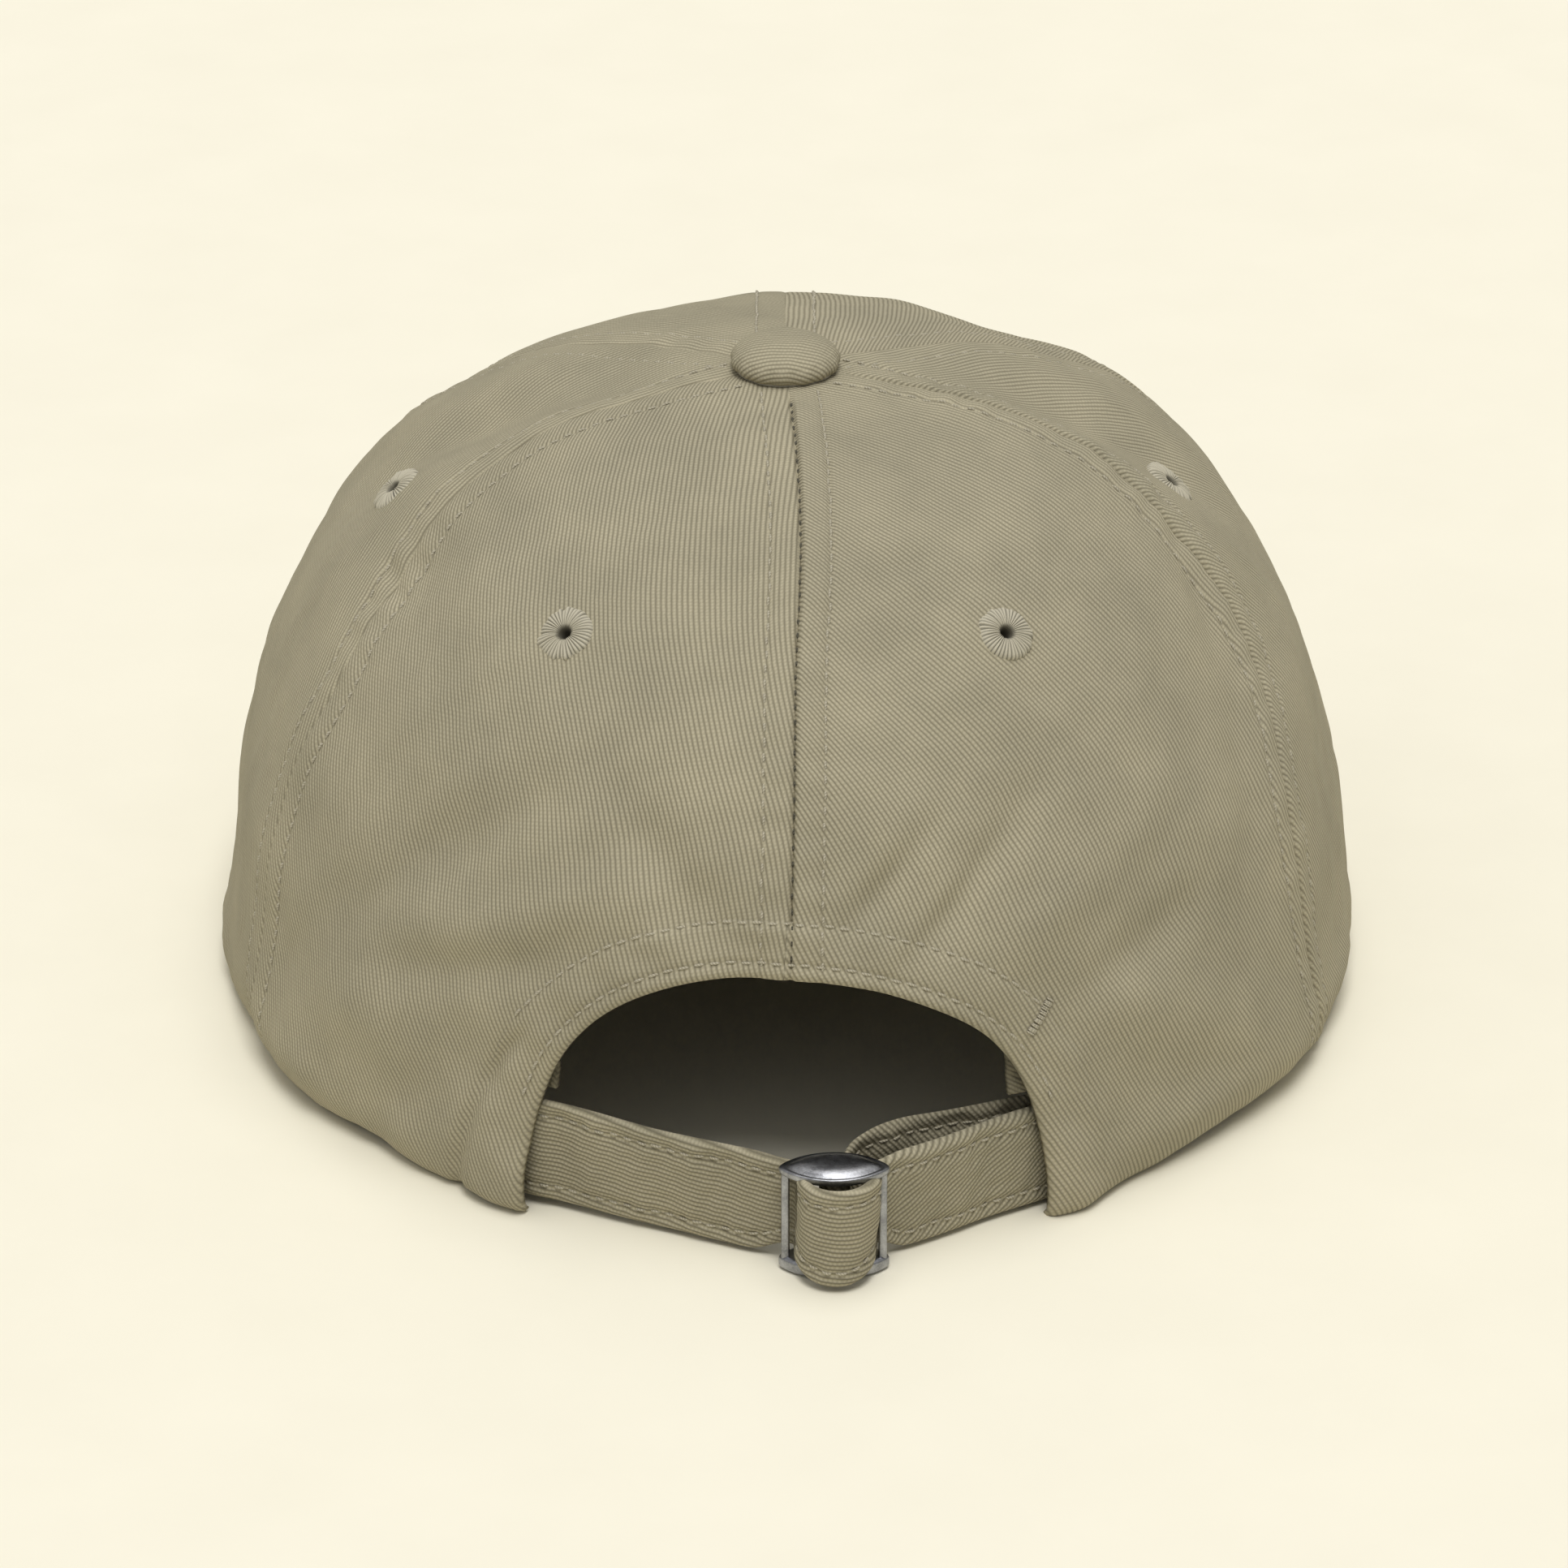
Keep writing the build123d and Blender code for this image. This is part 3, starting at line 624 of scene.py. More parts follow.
def satin(name, light, dark):
    """Close radial stitches: the map's first coordinate goes round by half a turn for each stitch,
    its second is the distance from the middle, and the hole's wall is painted dark as shade."""
    n = Nodes(name)
    uv, u, v = n.cloth_map()
    ridge = n.math("POWER", n.math("ABSOLUTE", n.math("SINE", u)), 0.7)
    fuzz = n.noise(uv, 4.0, 4.0, 0.7)
    # Painted shade: the thread colour darkens towards the hole and down its wall.
    rim = n.math("MINIMUM", n.math("MULTIPLY", n.math("SUBTRACT", v, 0.85), 1.6), 1.0)
    tone = n.math("MULTIPLY", n.math("MULTIPLY_ADD", ridge, 0.75, n.math("MULTIPLY", fuzz, 0.4)), rim)
    n.bump(tone, 0.00012)
    n.surface(Base_Color=n.ramp(tone, dark, light, 0.1, 0.95), Roughness=0.7, Sheen_Weight=0.1)
    return n.material


def metal(name, light, dark, roughness, worn):
    """An antiqued cast metal, brighter where it is rubbed."""
    n = Nodes(name)
    place = n.new("TexCoord").outputs["Object"]
    cloud = n.noise(place, 420.0, 5.0, 0.6)
    grain = n.noise(place, 3200.0, 3.0, 0.6)
    tone = n.math("MULTIPLY_ADD", grain, 0.3, n.math("MULTIPLY", cloud, 0.7))
    n.surface(Base_Color=n.ramp(tone, dark, light, 0.35, 0.7), Metallic=1.0)
    n.surface(Roughness=n.math("MULTIPLY_ADD", cloud, worn, roughness))
    n.bump(n.math("ADD", cloud, n.math("MULTIPLY", grain, 0.5)), 0.00006)
    return n.material


def moulded(name, light, dark):
    """A moulded stiff board with a fine pitted face."""
    n = Nodes(name)
    place = n.new("TexCoord").outputs["Object"]
    pits = n.noise(place, 900.0, 4.0, 0.7)
    n.bump(pits, 0.00008)
    n.surface(Base_Color=n.ramp(n.noise(place, 60.0, 4.0), dark, light, 0.3, 0.7))
    n.surface(Roughness=n.math("MULTIPLY_ADD", pits, 0.3, 0.4))
    return n.material


KHAKI = (0.51, 0.468, 0.343)
KHAKI_DARK = (0.245, 0.222, 0.158)
STRAP_DARK = (0.2, 0.182, 0.126)
LABEL = (0.62, 0.6, 0.54)
LABEL_DARK = (0.45, 0.43, 0.38)
crown_cloth = twill("crown_twill", KHAKI, KHAKI_DARK)
button_cloth = twill("button_twill", KHAKI, KHAKI_DARK, turn=88.0)
strap_cloth = twill("strap_twill", KHAKI, STRAP_DARK, turn=84.0, depth=0.00017, gap=0.65)
anchor_cloth = twill("anchor_twill", KHAKI, STRAP_DARK, turn=40.0, depth=0.00017, gap=0.65)
visor_cloth = twill("visor_twill", KHAKI, KHAKI_DARK, turn=40.0)
# The sweatband's colours are painted darker than the crown's khaki, as the shade inside the crown.
band_cloth_painted_shade = twill("sweatband_cloth", (0.25, 0.228, 0.16), (0.14, 0.127, 0.09), turn=60.0)
tape_cloth = twill("seam_tape", (0.34, 0.305, 0.215), (0.22, 0.195, 0.135), turn=0.0, rib=1.1, dot=1.1)
label_cloth = twill("label_cloth", LABEL, LABEL_DARK, turn=90.0, rib=0.3, dot=0.3, depth=0.00004)
# Near-black thread for the centre back seam: painted shade of its narrow groove.
groove_shade_thread = thread("groove_shade_thread", (0.12, 0.11, 0.075), (0.05, 0.045, 0.03))
seam_thread = thread("seam_thread", (0.54, 0.5, 0.38), (0.34, 0.31, 0.23))
eyelet_thread = satin("eyelet_thread", (0.58, 0.54, 0.42), (0.1, 0.09, 0.06))
tinned = metal("tinned_metal", (0.66, 0.65, 0.62), (0.4, 0.39, 0.37), 0.3, 0.25)
gunmetal = metal("gunmetal", (0.50, 0.51, 0.54), (0.20, 0.205, 0.22), 0.24, 0.2)
board_plastic = moulded("visor_board", (0.09, 0.09, 0.09), (0.05, 0.05, 0.05))

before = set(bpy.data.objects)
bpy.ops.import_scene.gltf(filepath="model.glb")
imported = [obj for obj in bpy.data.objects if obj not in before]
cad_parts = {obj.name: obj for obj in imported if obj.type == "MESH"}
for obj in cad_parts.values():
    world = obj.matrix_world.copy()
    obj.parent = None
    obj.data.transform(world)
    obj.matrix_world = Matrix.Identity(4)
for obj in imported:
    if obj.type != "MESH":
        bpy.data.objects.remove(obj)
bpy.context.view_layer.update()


# Crown panels


def spread_columns(count):
    """Steps from 0 to 1 that lie closer together at both ends."""
    even = np.linspace(0, 1, count)
    return 0.4 * even + 0.6 * (0.5 - 0.5 * np.cos(np.pi * even))


def panel_angles(name, arc, share):
    """The angle at a share of the way across a panel, at a distance up its side."""
    first, last = PANELS[name]
    start = seam_angle(first, arc)
    end = seam_angle(last, arc)
    if name == "side_panel_right":
        start = start - 360
    return start + (end - start) * share


def cloth_map(name, angle, arc):
    """The panel's cloth coordinates in mm: across from its middle line, and up from the rim."""
    middle = panel_angles(name, arc, 0.5)
    reach = crown_base(angle, arc)[2]
    return np.stack([np.radians(angle_gap(angle, middle)) * reach, np.broadcast_to(arc, reach.shape)], -1)


def eyelet_place(name):
    """The middle of a panel's eyelet on the worn crown, and the outward direction there."""
    height = EYELET_HEIGHT - FRONT_EYELET_DROP * name.startswith("front")
    return crown(EYELETS[name], arc_at(height), seams=False)


def hem_band(name):
    """The turned edge of a back panel round the opening, as (vertices, faces, uvs)."""
    line = OPENING[OPENING[:, 1] > -1.0]
    half = line[line[:, 0] <= 0.3] if name.endswith("left") else line[line[:, 0] >= -0.3]
    half = resample(half, 150)
    widths = np.concatenate([[0.0, 0.25, 0.5, 0.8], np.linspace(1.15, HEM_OUTER_ROW + 0.35, 20)])
    spots = half[None] + widths[:, None, None] * left_of(half)[None]
    angle, arc = from_behind(spots[..., 0], np.clip(spots[..., 1], 0.0, None))
    outer = crown(angle, arc)[0]
    inner = crown(angle, arc, depth=0.9)[0]
    verts, faces = shell(outer, inner)
    faces = faces[:, ::-1]
    uvs = cloth_map(name, angle, arc).reshape(-1, 2)
    return verts, faces, np.concatenate([uvs, uvs])


def from_behind(x, height):
    """The crown's angle and arc at a place seen from straight behind."""
    factor = level_factor(height)
    y = -HALF_LENGTH * np.sqrt(np.clip(factor**2 - (x / HALF_WIDTH) ** 2, 1e-4, None))
    return np.degrees(np.arctan2(y, x)) % 360, arc_at(height)


def crown_panel(name):
    """One panel with its seam edges, rolled foot, eyelet hole and, at the back, its turned hem."""
    share = spread_columns(136)[None]
    rows = np.linspace(0, 1, 140)[:, None]
    top = ARC_TOTAL - 1.0
    middle = panel_angles(name, rows * top, share)
    foot = arc_at(rim_foot(middle[:1]))
    climb = np.where(rows < 0.12, rows**1.3 * 0.12**-0.3, rows)
    arc = foot + (top - foot) * climb
    angle = panel_angles(name, arc, share)
    outer, out = crown(angle, arc)
    inner = crown(angle, arc, depth=CLOTH)[0]
    keep = np.ones((outer.shape[0] - 1, outer.shape[1] - 1), bool)
    if name.startswith("back"):
        base = crown_base(angle, arc)[0]
        away = opening_distance(base)
        under = (1 - ease(away, HEM_OUTER_ROW - 1.2, HEM_OUTER_ROW))[..., None]
        outer = outer - out * 0.45 * under
        corners = [away[:-1, :-1], away[1:, 1:], away[:-1, 1:], away[1:, :-1]]
        keep &= np.min(corners, axis=0) > HEM_OVERLAP
    gap = np.linalg.norm(outer - eyelet_place(name)[0], axis=-1)
    keep &= gap[:-1, :-1] > EYELET_HOLE
    verts, faces = shell(outer, inner, keep)
    uvs = cloth_map(name, angle, arc).reshape(-1, 2)
    parts = [(verts, faces, np.concatenate([uvs, uvs]))]
    if name.startswith("back"):
        parts.append(hem_band(name))
    cloth = cloth_object(name + "_cloth", *join_parts(parts), crown_cloth)
    dress(cloth, "crown_twill", name)


def eyelet(name):
    """A hole ringed by close radial stitches."""
    centre, out = eyelet_place(name)
    up = np.array([0, 0, 1.0])
    side = np.cross(up, out)
    side /= np.linalg.norm(side)
    above = np.cross(out, side)
    steps = 7
    turn = np.linspace(0, 2 * np.pi, EYELET_STITCHES * steps, endpoint=False)
    rng = np.random.default_rng(int(EYELETS[name]) + 400)
    reach = np.repeat(rng.normal(0, 0.16, EYELET_STITCHES), steps)
    lift = np.repeat(rng.normal(0, 0.05, EYELET_STITCHES), steps)
    cord = np.abs(np.sin(turn * EYELET_STITCHES / 2))
    profile = [(0.8, -2.4, 0.0), (0.8, -0.5, 0.0), (0.9, 0.05, 0.2), (1.15, 0.42, 0.7), (1.6, 0.62, 1.0)]
    profile += [(2.3, 0.7, 1.0), (3.0, 0.62, 1.0), (3.6, 0.46, 1.0), (4.0, 0.24, 1.0)]
    profile += [(4.25, -0.1, 0.6), (4.35, -0.6, 0.0)]
    grid = []
    for r, h, bumpy in profile:
        radius = r * np.ones(len(turn)) + (reach if r > 3 else reach * 0.2) * bumpy
        height = h + bumpy * (0.3 * cord**0.8 + lift - 0.15)
        flat = radius[:, None] * (np.cos(turn)[:, None] * side + np.sin(turn)[:, None] * above)
        grid.append(centre + flat + height[:, None] * out)
    far = np.array([r for r, h, bumpy in profile])[:, None] + 0 * turn[None]
    uvs = np.stack([turn[None] * EYELET_STITCHES / 2 + 0 * far, far], -1).reshape(-1, 2)
    faces = tube_faces(len(profile), len(turn))
    node = name.replace("panel", "eyelet")
    ring = cloth_object(node + "_ring", np.concatenate(grid), faces, uvs, eyelet_thread)
    dress(ring, "eyelet_thread", node)


for panel_name in PANELS:
    crown_panel(panel_name)
    eyelet(panel_name)


def seam_rows():
    """The two rows of topstitching beside every seam, and the two round the back opening."""
    runs = []
    for name in SEAMS:
        for side in (-1, 1):
            arc = np.linspace(seam_foot(name) + 2.0, ARC_TOTAL - SEAM_TOP_GAP, 200)
            middle = seam_angle(name, arc)
            reach = crown_base(middle, arc)[2]
            angle = middle + side * np.degrees(ROW_OFFSET / np.maximum(reach, 6.0))
            line, out = crown(angle, arc)
            line = line - 0.22 * name.startswith("front_") * ease(arc, 80, 95)[:, None] * out
            if name == "back":
                clear = opening_distance(crown_base(angle, arc)[0]) > 1.2
                line, out = line[clear], out[clear]
            runs.append((line, out))
    for width, lowest in ((HEM_INNER_ROW, 18.0), (HEM_OUTER_ROW, 27.0)):
        line = OPENING[OPENING[:, 1] > lowest]
        spots = line + width * left_of(line)
        runs.append(crown(*from_behind(spots[:, 0], spots[:, 1])))
    return runs


def bar_tack(x, height, turn, length, width):
    """A dense bar of short threads that locks a corner, as runs of one stitch each."""
    c, s = math.cos(math.radians(turn)), math.sin(math.radians(turn))
    runs = []
    for step in np.linspace(-length / 2, length / 2, 20):
        across = np.linspace(-width / 2, width / 2, 5)
        angle, arc = from_behind(x + step * c - across * s, height + step * s + across * c)
        line, out = crown(angle, arc)
        runs.append((line + out * 0.2, out))
    return runs


def centre_seam_run():
    """A run along the centre back seam, from the opening to the button, for dark thread painted as the shade
    in its narrow groove.
    """
    arc = np.linspace(arc_at(OPENING_HEIGHT + 2.0), ARC_TOTAL - 11.0, 200)
    line, out = crown(seam_angle("back", arc), arc)
    return [(line + out * 0.02, out)]


seams_sewn = stitches(seam_rows())
dress(cloth_object("crown_stitching", *seams_sewn, seam_thread), "crown_twill")
# Painted shade: dark stitches laid in the centre back seam's groove.
seam_groove_shade = stitches(centre_seam_run(), radius=0.2, fill=0.5)
dress(cloth_object("centre_seam_shade_thread", *seam_groove_shade, groove_shade_thread), "crown_twill")
tacks = stitches(bar_tack(37.0, 32.2, 50, 5.0, 1.5), radius=0.17, pitch=1.5, fill=1.0)
dress(cloth_object("bar_tacks", *tacks, seam_thread), "crown_twill")


# Inside the crown


def crown_strip(node, angle, arc, depth, thickness, material, slot):
    """A strip of cloth that lies against the inside of the crown."""
    outer = crown(angle, arc, depth=depth, seams=False)[0]
    inner = crown(angle, arc, depth=depth + thickness, seams=False)[0]
    verts, faces = shell(outer, inner)
    middle = np.mean(angle)
    reach = crown_base(angle, arc)[2]
    uvs = np.stack([np.radians(angle - middle) * reach, arc], -1).reshape(-1, 2)
    obj = cloth_object(node + "_cloth", verts, faces, np.concatenate([uvs, uvs]), material)
    dress(obj, slot, node)


def seam_tape(name):
    """The tape over a seam's inside, a little quilted by the stitching through it."""
    foot = arc_at(OPENING_HEIGHT + 9.0) if name == "back" else seam_foot(name) + 1.5
    arc = np.linspace(foot, ARC_TOTAL - SEAM_TOP_GAP, 110)[:, None]
    side = np.linspace(-1, 1, 21)[None]
    middle = seam_angle(name, arc)
    half_turn = np.minimum(np.degrees(TAPE_WIDTH / 2 / crown_base(middle, arc)[2]), 29.0)
    depth = CLOTH + 0.3 + 0.25 * np.cos(side * 6) + 0.15 * np.sin(arc * 0.9 + side)
    angle = middle + side * half_turn
    crown_strip("seam_tape_" + name, angle, arc + 0 * side, depth, 0.5, tape_cloth, "seam_tape")


def facing():
    """The tape behind the back opening's edge."""
    line = OPENING[OPENING[:, 1] > 17.0]
    spots = line[None] + np.linspace(0.4, 10.0, 14)[:, None, None] * left_of(line)[None]
    angle, arc = from_behind(spots[..., 0], spots[..., 1])
    crown_strip("opening_facing", angle, arc, CLOTH + 0.25, 0.5, tape_cloth, "seam_tape")


def sweatband(name, side):
    """Half of the sweatband, from the back opening to the middle of the front."""
    start = -90 + side * (21.3 - 0.5 * side)
    end = 90.0 if side > 0 else -270.0
    angle = np.linspace(start, end, 260)[None]
    base = crown_base(angle, 0.0)[0]
    notch = ease(62.0 - np.abs(base[..., 0]), 0, 6) * (base[..., 1] < 0)
    low = np.maximum(rim_foot(angle) + 1.4, BAND_END_FOOT * notch + BAND_FOOT)
    lift = np.where(base[..., 1] > 0, np.clip(visor_under(base[..., 0], base[..., 1]), 0, None), 0)
    high = lift + BAND_TOP + 0.5 * ripple(base, 30, 12)
    rows = np.linspace(0, 1, 40)[:, None]
    arc = arc_at(low + (high - low) * rows)
    wave = 0.5 * ripple(np.stack([np.radians(angle) * 88 + 0 * arc, arc], -1), 24, 33) + 0.5
    quilt = 0.25 * bell(arc - arc_at(high) + 4.0, 0.7) + 0.3 * bell(arc - arc_at(low) - 3.0, 0.8)
    depth = 2.2 + wave * 0.8 + quilt
    crown_strip(name, angle + 0 * arc, arc, depth, 1.0, band_cloth_painted_shade, "sweatband_cloth")


def care_label():
    """The blank label that hangs behind the sweatband."""
    angle = np.linspace(185.3, 204.7, 30)[None] + 0 * np.linspace(0, 1, 30)[:, None]
    arc = np.linspace(6.0, 38.0, 30)[:, None] + 0 * angle
    depth = 4.3 + 0.5 * ripple(np.stack([angle, arc], -1), 22, 8)
    crown_strip("care_label", angle, arc, depth, 0.3, label_cloth, "label_cloth")


for seam_name in SEAMS:
    seam_tape(seam_name)
facing()
sweatband("sweatband_left", -1)
sweatband("sweatband_right", 1)
care_label()


# Button


def button():
    """The cloth-covered button, turned in under its rim."""
    profile = [(0.02, 4.62), (1.6, 4.6), (3.2, 4.48), (4.9, 4.15), (6.3, 3.62), (7.4, 2.95)]
    profile += [(8.05, 2.15), (8.3, 1.4), (8.2, 0.7), (7.8, 0.2), (7.2, 0.0), (6.4, 0.05)]
    profile = resample(np.array(profile), 46)
    radius, height = profile.T
    turn = np.linspace(0, 2 * np.pi, 144, endpoint=False)
    x = radius[:, None] * np.cos(turn)[None]
    y = radius[:, None] * np.sin(turn)[None]
    pleat = 0.12 * np.sin(turn * 15 + 0.8) * ease(radius[:, None], 6.0, 8.0) * (height[:, None] < 2.5)
    rough = 0.08 * ripple(np.stack([x, y], -1), 5.0, 61)
    z = BUTTON_FOOT + height[:, None] + rough + 0 * x
    z = np.maximum(z, BUTTON_FOOT - 0.02)
    grid = np.stack([x * (1 + pleat / 9), y * (1 + pleat / 9), z], -1)
    number = np.arange(grid.shape[0] * grid.shape[1]).reshape(grid.shape[:2])
    shifted = np.roll(number, -1, axis=1)
    faces = np.stack([number[:-1], number[1:], shifted[1:], shifted[:-1]], -1).reshape(-1, 4)
    run = run_along(profile)[:, None]
    uvs = np.stack([run * np.cos(turn)[None], run * np.sin(turn)[None]], -1).reshape(-1, 2)
    cover = cloth_object("button_cloth", grid.reshape(-1, 3), faces, uvs, button_cloth)
    dress(cover, "crown_twill", "button_cover")


button()


# Visor


def visor_edge():
    """The visor's plan edge outside the crown, from the right root over the front to the left root."""
    half, front = VISOR_HALF_WIDTH, VISOR_FRONT
    knots = [(half - 7, VISOR_ROOT_Y - 2), (half, VISOR_WIDEST_Y), (half - 23, front - 24), (0, front)]
    knots = np.array(knots + [(-x, y) for x, y in knots[-2::-1]], float)
    run = run_along(knots)
    slope = np.gradient(knots, run, axis=0)
    slope[3] = [-1.0, 0.0]
    line = []
    for k in range(len(knots) - 1):
        t = np.linspace(0, 1, 60)[:, None]
        gap = run[k + 1] - run[k]
        part = (2 * t**3 - 3 * t**2 + 1) * knots[k] + (t**3 - 2 * t**2 + t) * gap * slope[k]
        part = part + (3 * t**2 - 2 * t**3) * knots[k + 1] + (t**3 - t**2) * gap * slope[k + 1]
        line.append(part[:-1])
    line = np.concatenate(line + [knots[-1:]])
    outside = (line[:, 0] / HALF_WIDTH) ** 2 + (line[:, 1] / HALF_LENGTH) ** 2 > 1.0
    line = resample(line[outside], 240)
    run = run_along(line)
    near = 1 - ease(np.minimum(run, run[-1] - run), 8, 26)
    line[:, 0] += VISOR_ROOT_FLARE * np.sign(line[:, 0]) * near
    return line


EDGE = visor_edge()


def visor_root():
    """The visor's inner edge, just inside the crown's rim."""
    first = math.atan2(EDGE[0, 1] / HALF_LENGTH, EDGE[0, 0] / HALF_WIDTH)
    last = math.atan2(EDGE[-1, 1] / HALF_LENGTH, EDGE[-1, 0] / HALF_WIDTH)
    turn = np.linspace(first, last, 240)
    return np.stack([(HALF_WIDTH - 0.5) * np.cos(turn), (HALF_LENGTH - 0.5) * np.sin(turn)], -1)


ROOT = visor_root()


def visor_grid(rows, edge_inset, level):
    """A face of the visor at a level above its underside: points, and each one's distance from the edge."""
    ray = ROOT - EDGE
    length = np.maximum(np.linalg.norm(ray, axis=1), 0.5)
    inset = np.minimum(edge_inset, 0.5 * length)
    share = rows[:, None]
    away = (inset + (length - inset) * (1 - share)).reshape(len(rows), -1)
    plan = EDGE[None] + ray[None] / length[None, :, None] * away[..., None]
    tilt = np.sqrt(1 - (plan[..., 0] / VISOR_BEND_RADIUS) ** 2)
    height = visor_under(plan[..., 0], plan[..., 1]) + level / tilt
    return np.concatenate([plan, height[..., None]], -1), away


def visor_relief(away, points, seed):
    """The pulled rows of stitching parallel to the visor's edge, and a little unevenness."""
    total = 0.12 * ripple(points, 18, seed)
    for back in VISOR_ROWS:
        total = total - 0.3 * bell(away - back, 0.7)
    return total * ease(away, 0.5, 2.0)


def visor_rows(level):
    """Stitch runs parallel to the visor's edge at a level above its underside."""
    runs = []
    for back in VISOR_ROWS:
        ray = ROOT - EDGE
        length = np.linalg.norm(ray, axis=1)
        long_enough = length > back + 1.5
        plan = EDGE[long_enough] + ray[long_enough] / length[long_enough, None] * back
        tilt = np.sqrt(1 - (plan[:, 0] / VISOR_BEND_RADIUS) ** 2)
        height = visor_under(plan[:, 0], plan[:, 1]) + level / tilt
        out = np.stack([plan[:, 0] / VISOR_BEND_RADIUS, 0 * tilt, tilt], -1)
        runs.append((np.concatenate([plan, height[:, None]], -1), out))
    return runs


def visor_piece(node, level, up, edge_inset, seed, lip):
    """One cloth of the visor with its stitching, its edge turned over a lip of levels when it has one."""
    thickness = VISOR_CLOTH - 0.05
    rows = 1 - (1 - np.linspace(0, 1, 100)) ** 1.1
    outer, away = visor_grid(rows, edge_inset, level)
    outer[..., 2] += up * visor_relief(away, outer, seed)
    inner, _ = visor_grid(rows, edge_inset, level - up * thickness)
    if lip:
        turned = [visor_grid(rows[-1:], inset, high)[0] for inset, high in lip]
        lining = [visor_grid(rows[-1:], inset + thickness, high - 0.2)[0] for inset, high in lip]
        outer = np.concatenate([outer] + turned)
        inner = np.concatenate([inner] + lining)
    verts, faces = shell(outer, inner)
    if up > 0:
        faces = faces[:, ::-1]
    uvs = outer[..., :2].reshape(-1, 2)
    obj = cloth_object(node + "_face", verts, faces, np.concatenate([uvs, uvs]), visor_cloth)
    dress(obj, "crown_twill", node)
    runs = [(line, up * out) for line, out in visor_rows(level - up * 0.25)]
    sewn = stitches(runs, pitch=VISOR_PITCH)
    name = node.replace("cloth", "stitching") + "_face"
    dress(cloth_object(name, *sewn, seam_thread), "crown_twill")


turned_edge = [(0.75, 3.55), (0.35, 3.25), (0.1, 2.8), (0.0, 2.3), (0.0, 1.7), (0.05, 1.15), (0.3, 0.85)]
visor_piece("visor_upper_cloth", VISOR_THICKNESS, 1, 1.3, 14, turned_edge)
visor_piece("visor_under_cloth", 0.0, -1, 0.5, 15, [])


# Straps


def rounded_path(points, radii):
    """A plan line through points with rounded corners."""
    points = np.array(points, float)
    line = [points[0]]
    for k, radius in enumerate(radii):
        before, corner, after = points[k], points[k + 1], points[k + 2]
        a = (before - corner) / np.linalg.norm(before - corner)
        b = (after - corner) / np.linalg.norm(after - corner)
        half = math.acos(np.clip(a @ b, -1, 1)) / 2
        reach = radius / math.tan(half)
        centre = corner + (a + b) / np.linalg.norm(a + b) * radius / math.sin(half)
        start, end = corner + a * reach - centre, corner + b * reach - centre
        sweep = math.atan2(start[0] * end[1] - start[1] * end[0], start @ end)
        for t in np.linspace(0, 1, 14):
            c, s = math.cos(sweep * t), math.sin(sweep * t)
            line.append(centre + np.array([c * start[0] - s * start[1], s * start[0] + c * start[1]]))
    line.append(points[-1])
    return np.array(line)


def strap_solid(path, low, high, thickness, seed, spacing=0.5):
    """A stitched strap swept along a plan path: vertices, faces, uvs, its two stitch runs and its length."""
    length = np.linalg.norm(np.diff(path, axis=0), axis=1).sum()
    path = resample(path, int(length / spacing))
    out = -left_of(path)
    run = np.linspace(0, length, len(path))
    foot = low(path)
    top = high(path)
    width = top - foot
    half = thickness / 2
    across = 0.5 - 0.5 * np.cos(np.linspace(0, np.pi, 34))
    across = 0.35 * across + 0.65 * np.linspace(0, 1, 34)
    face = foot[:, None] + width[:, None] * across[None]
    edge = np.minimum(face - foot[:, None], top[:, None] - face)
    puff = half * np.sqrt(np.clip(1 - np.clip(1 - edge / 0.9, 0, 1) ** 2, 0.02, 1))
    flat = np.stack([run[:, None] + 0 * face, face], -1)
    pull = 0.8 + 0.2 * np.cos(2 * np.pi * run / STITCH_PITCH)[:, None]
    dents = 0.42 * pull * bell(edge - STRAP_ROW, 0.7)
    ripples = 0.3 * ripple(flat * [1, 0.35], 10, seed) + 0.1 * ripple(flat, 4, seed + 1)
    front = puff - dents + ripples * ease(edge, 0.2, 1.5)
    back = puff - dents * 0.7 + 0.15 * ripple(flat, 8, seed + 2) * ease(edge, 0.2, 1.5)
    sway = 0.45 * ripple(flat * [1, 0.5], 26, seed + 3)
    outer = np.concatenate([path[:, None, :] + out[:, None] * (front + sway)[..., None], face[..., None]], -1)
    inner = np.concatenate([path[:, None, :] - out[:, None] * (back - sway)[..., None], face[..., None]], -1)
    verts, faces = shell(outer, inner)
    uvs = flat.reshape(-1, 2)
    runs = []
    for line_z in (foot + STRAP_ROW, top - STRAP_ROW):
        offset = np.array([np.interp(line_z[k], face[k], (front + sway)[k]) for k in range(len(path))])
        line = np.concatenate([path + out * offset[:, None], line_z[:, None]], -1)
        runs.append((line, np.concatenate([out, 0 * out[:, :1]], -1)))
    return verts, faces, np.concatenate([uvs, uvs]), runs, length


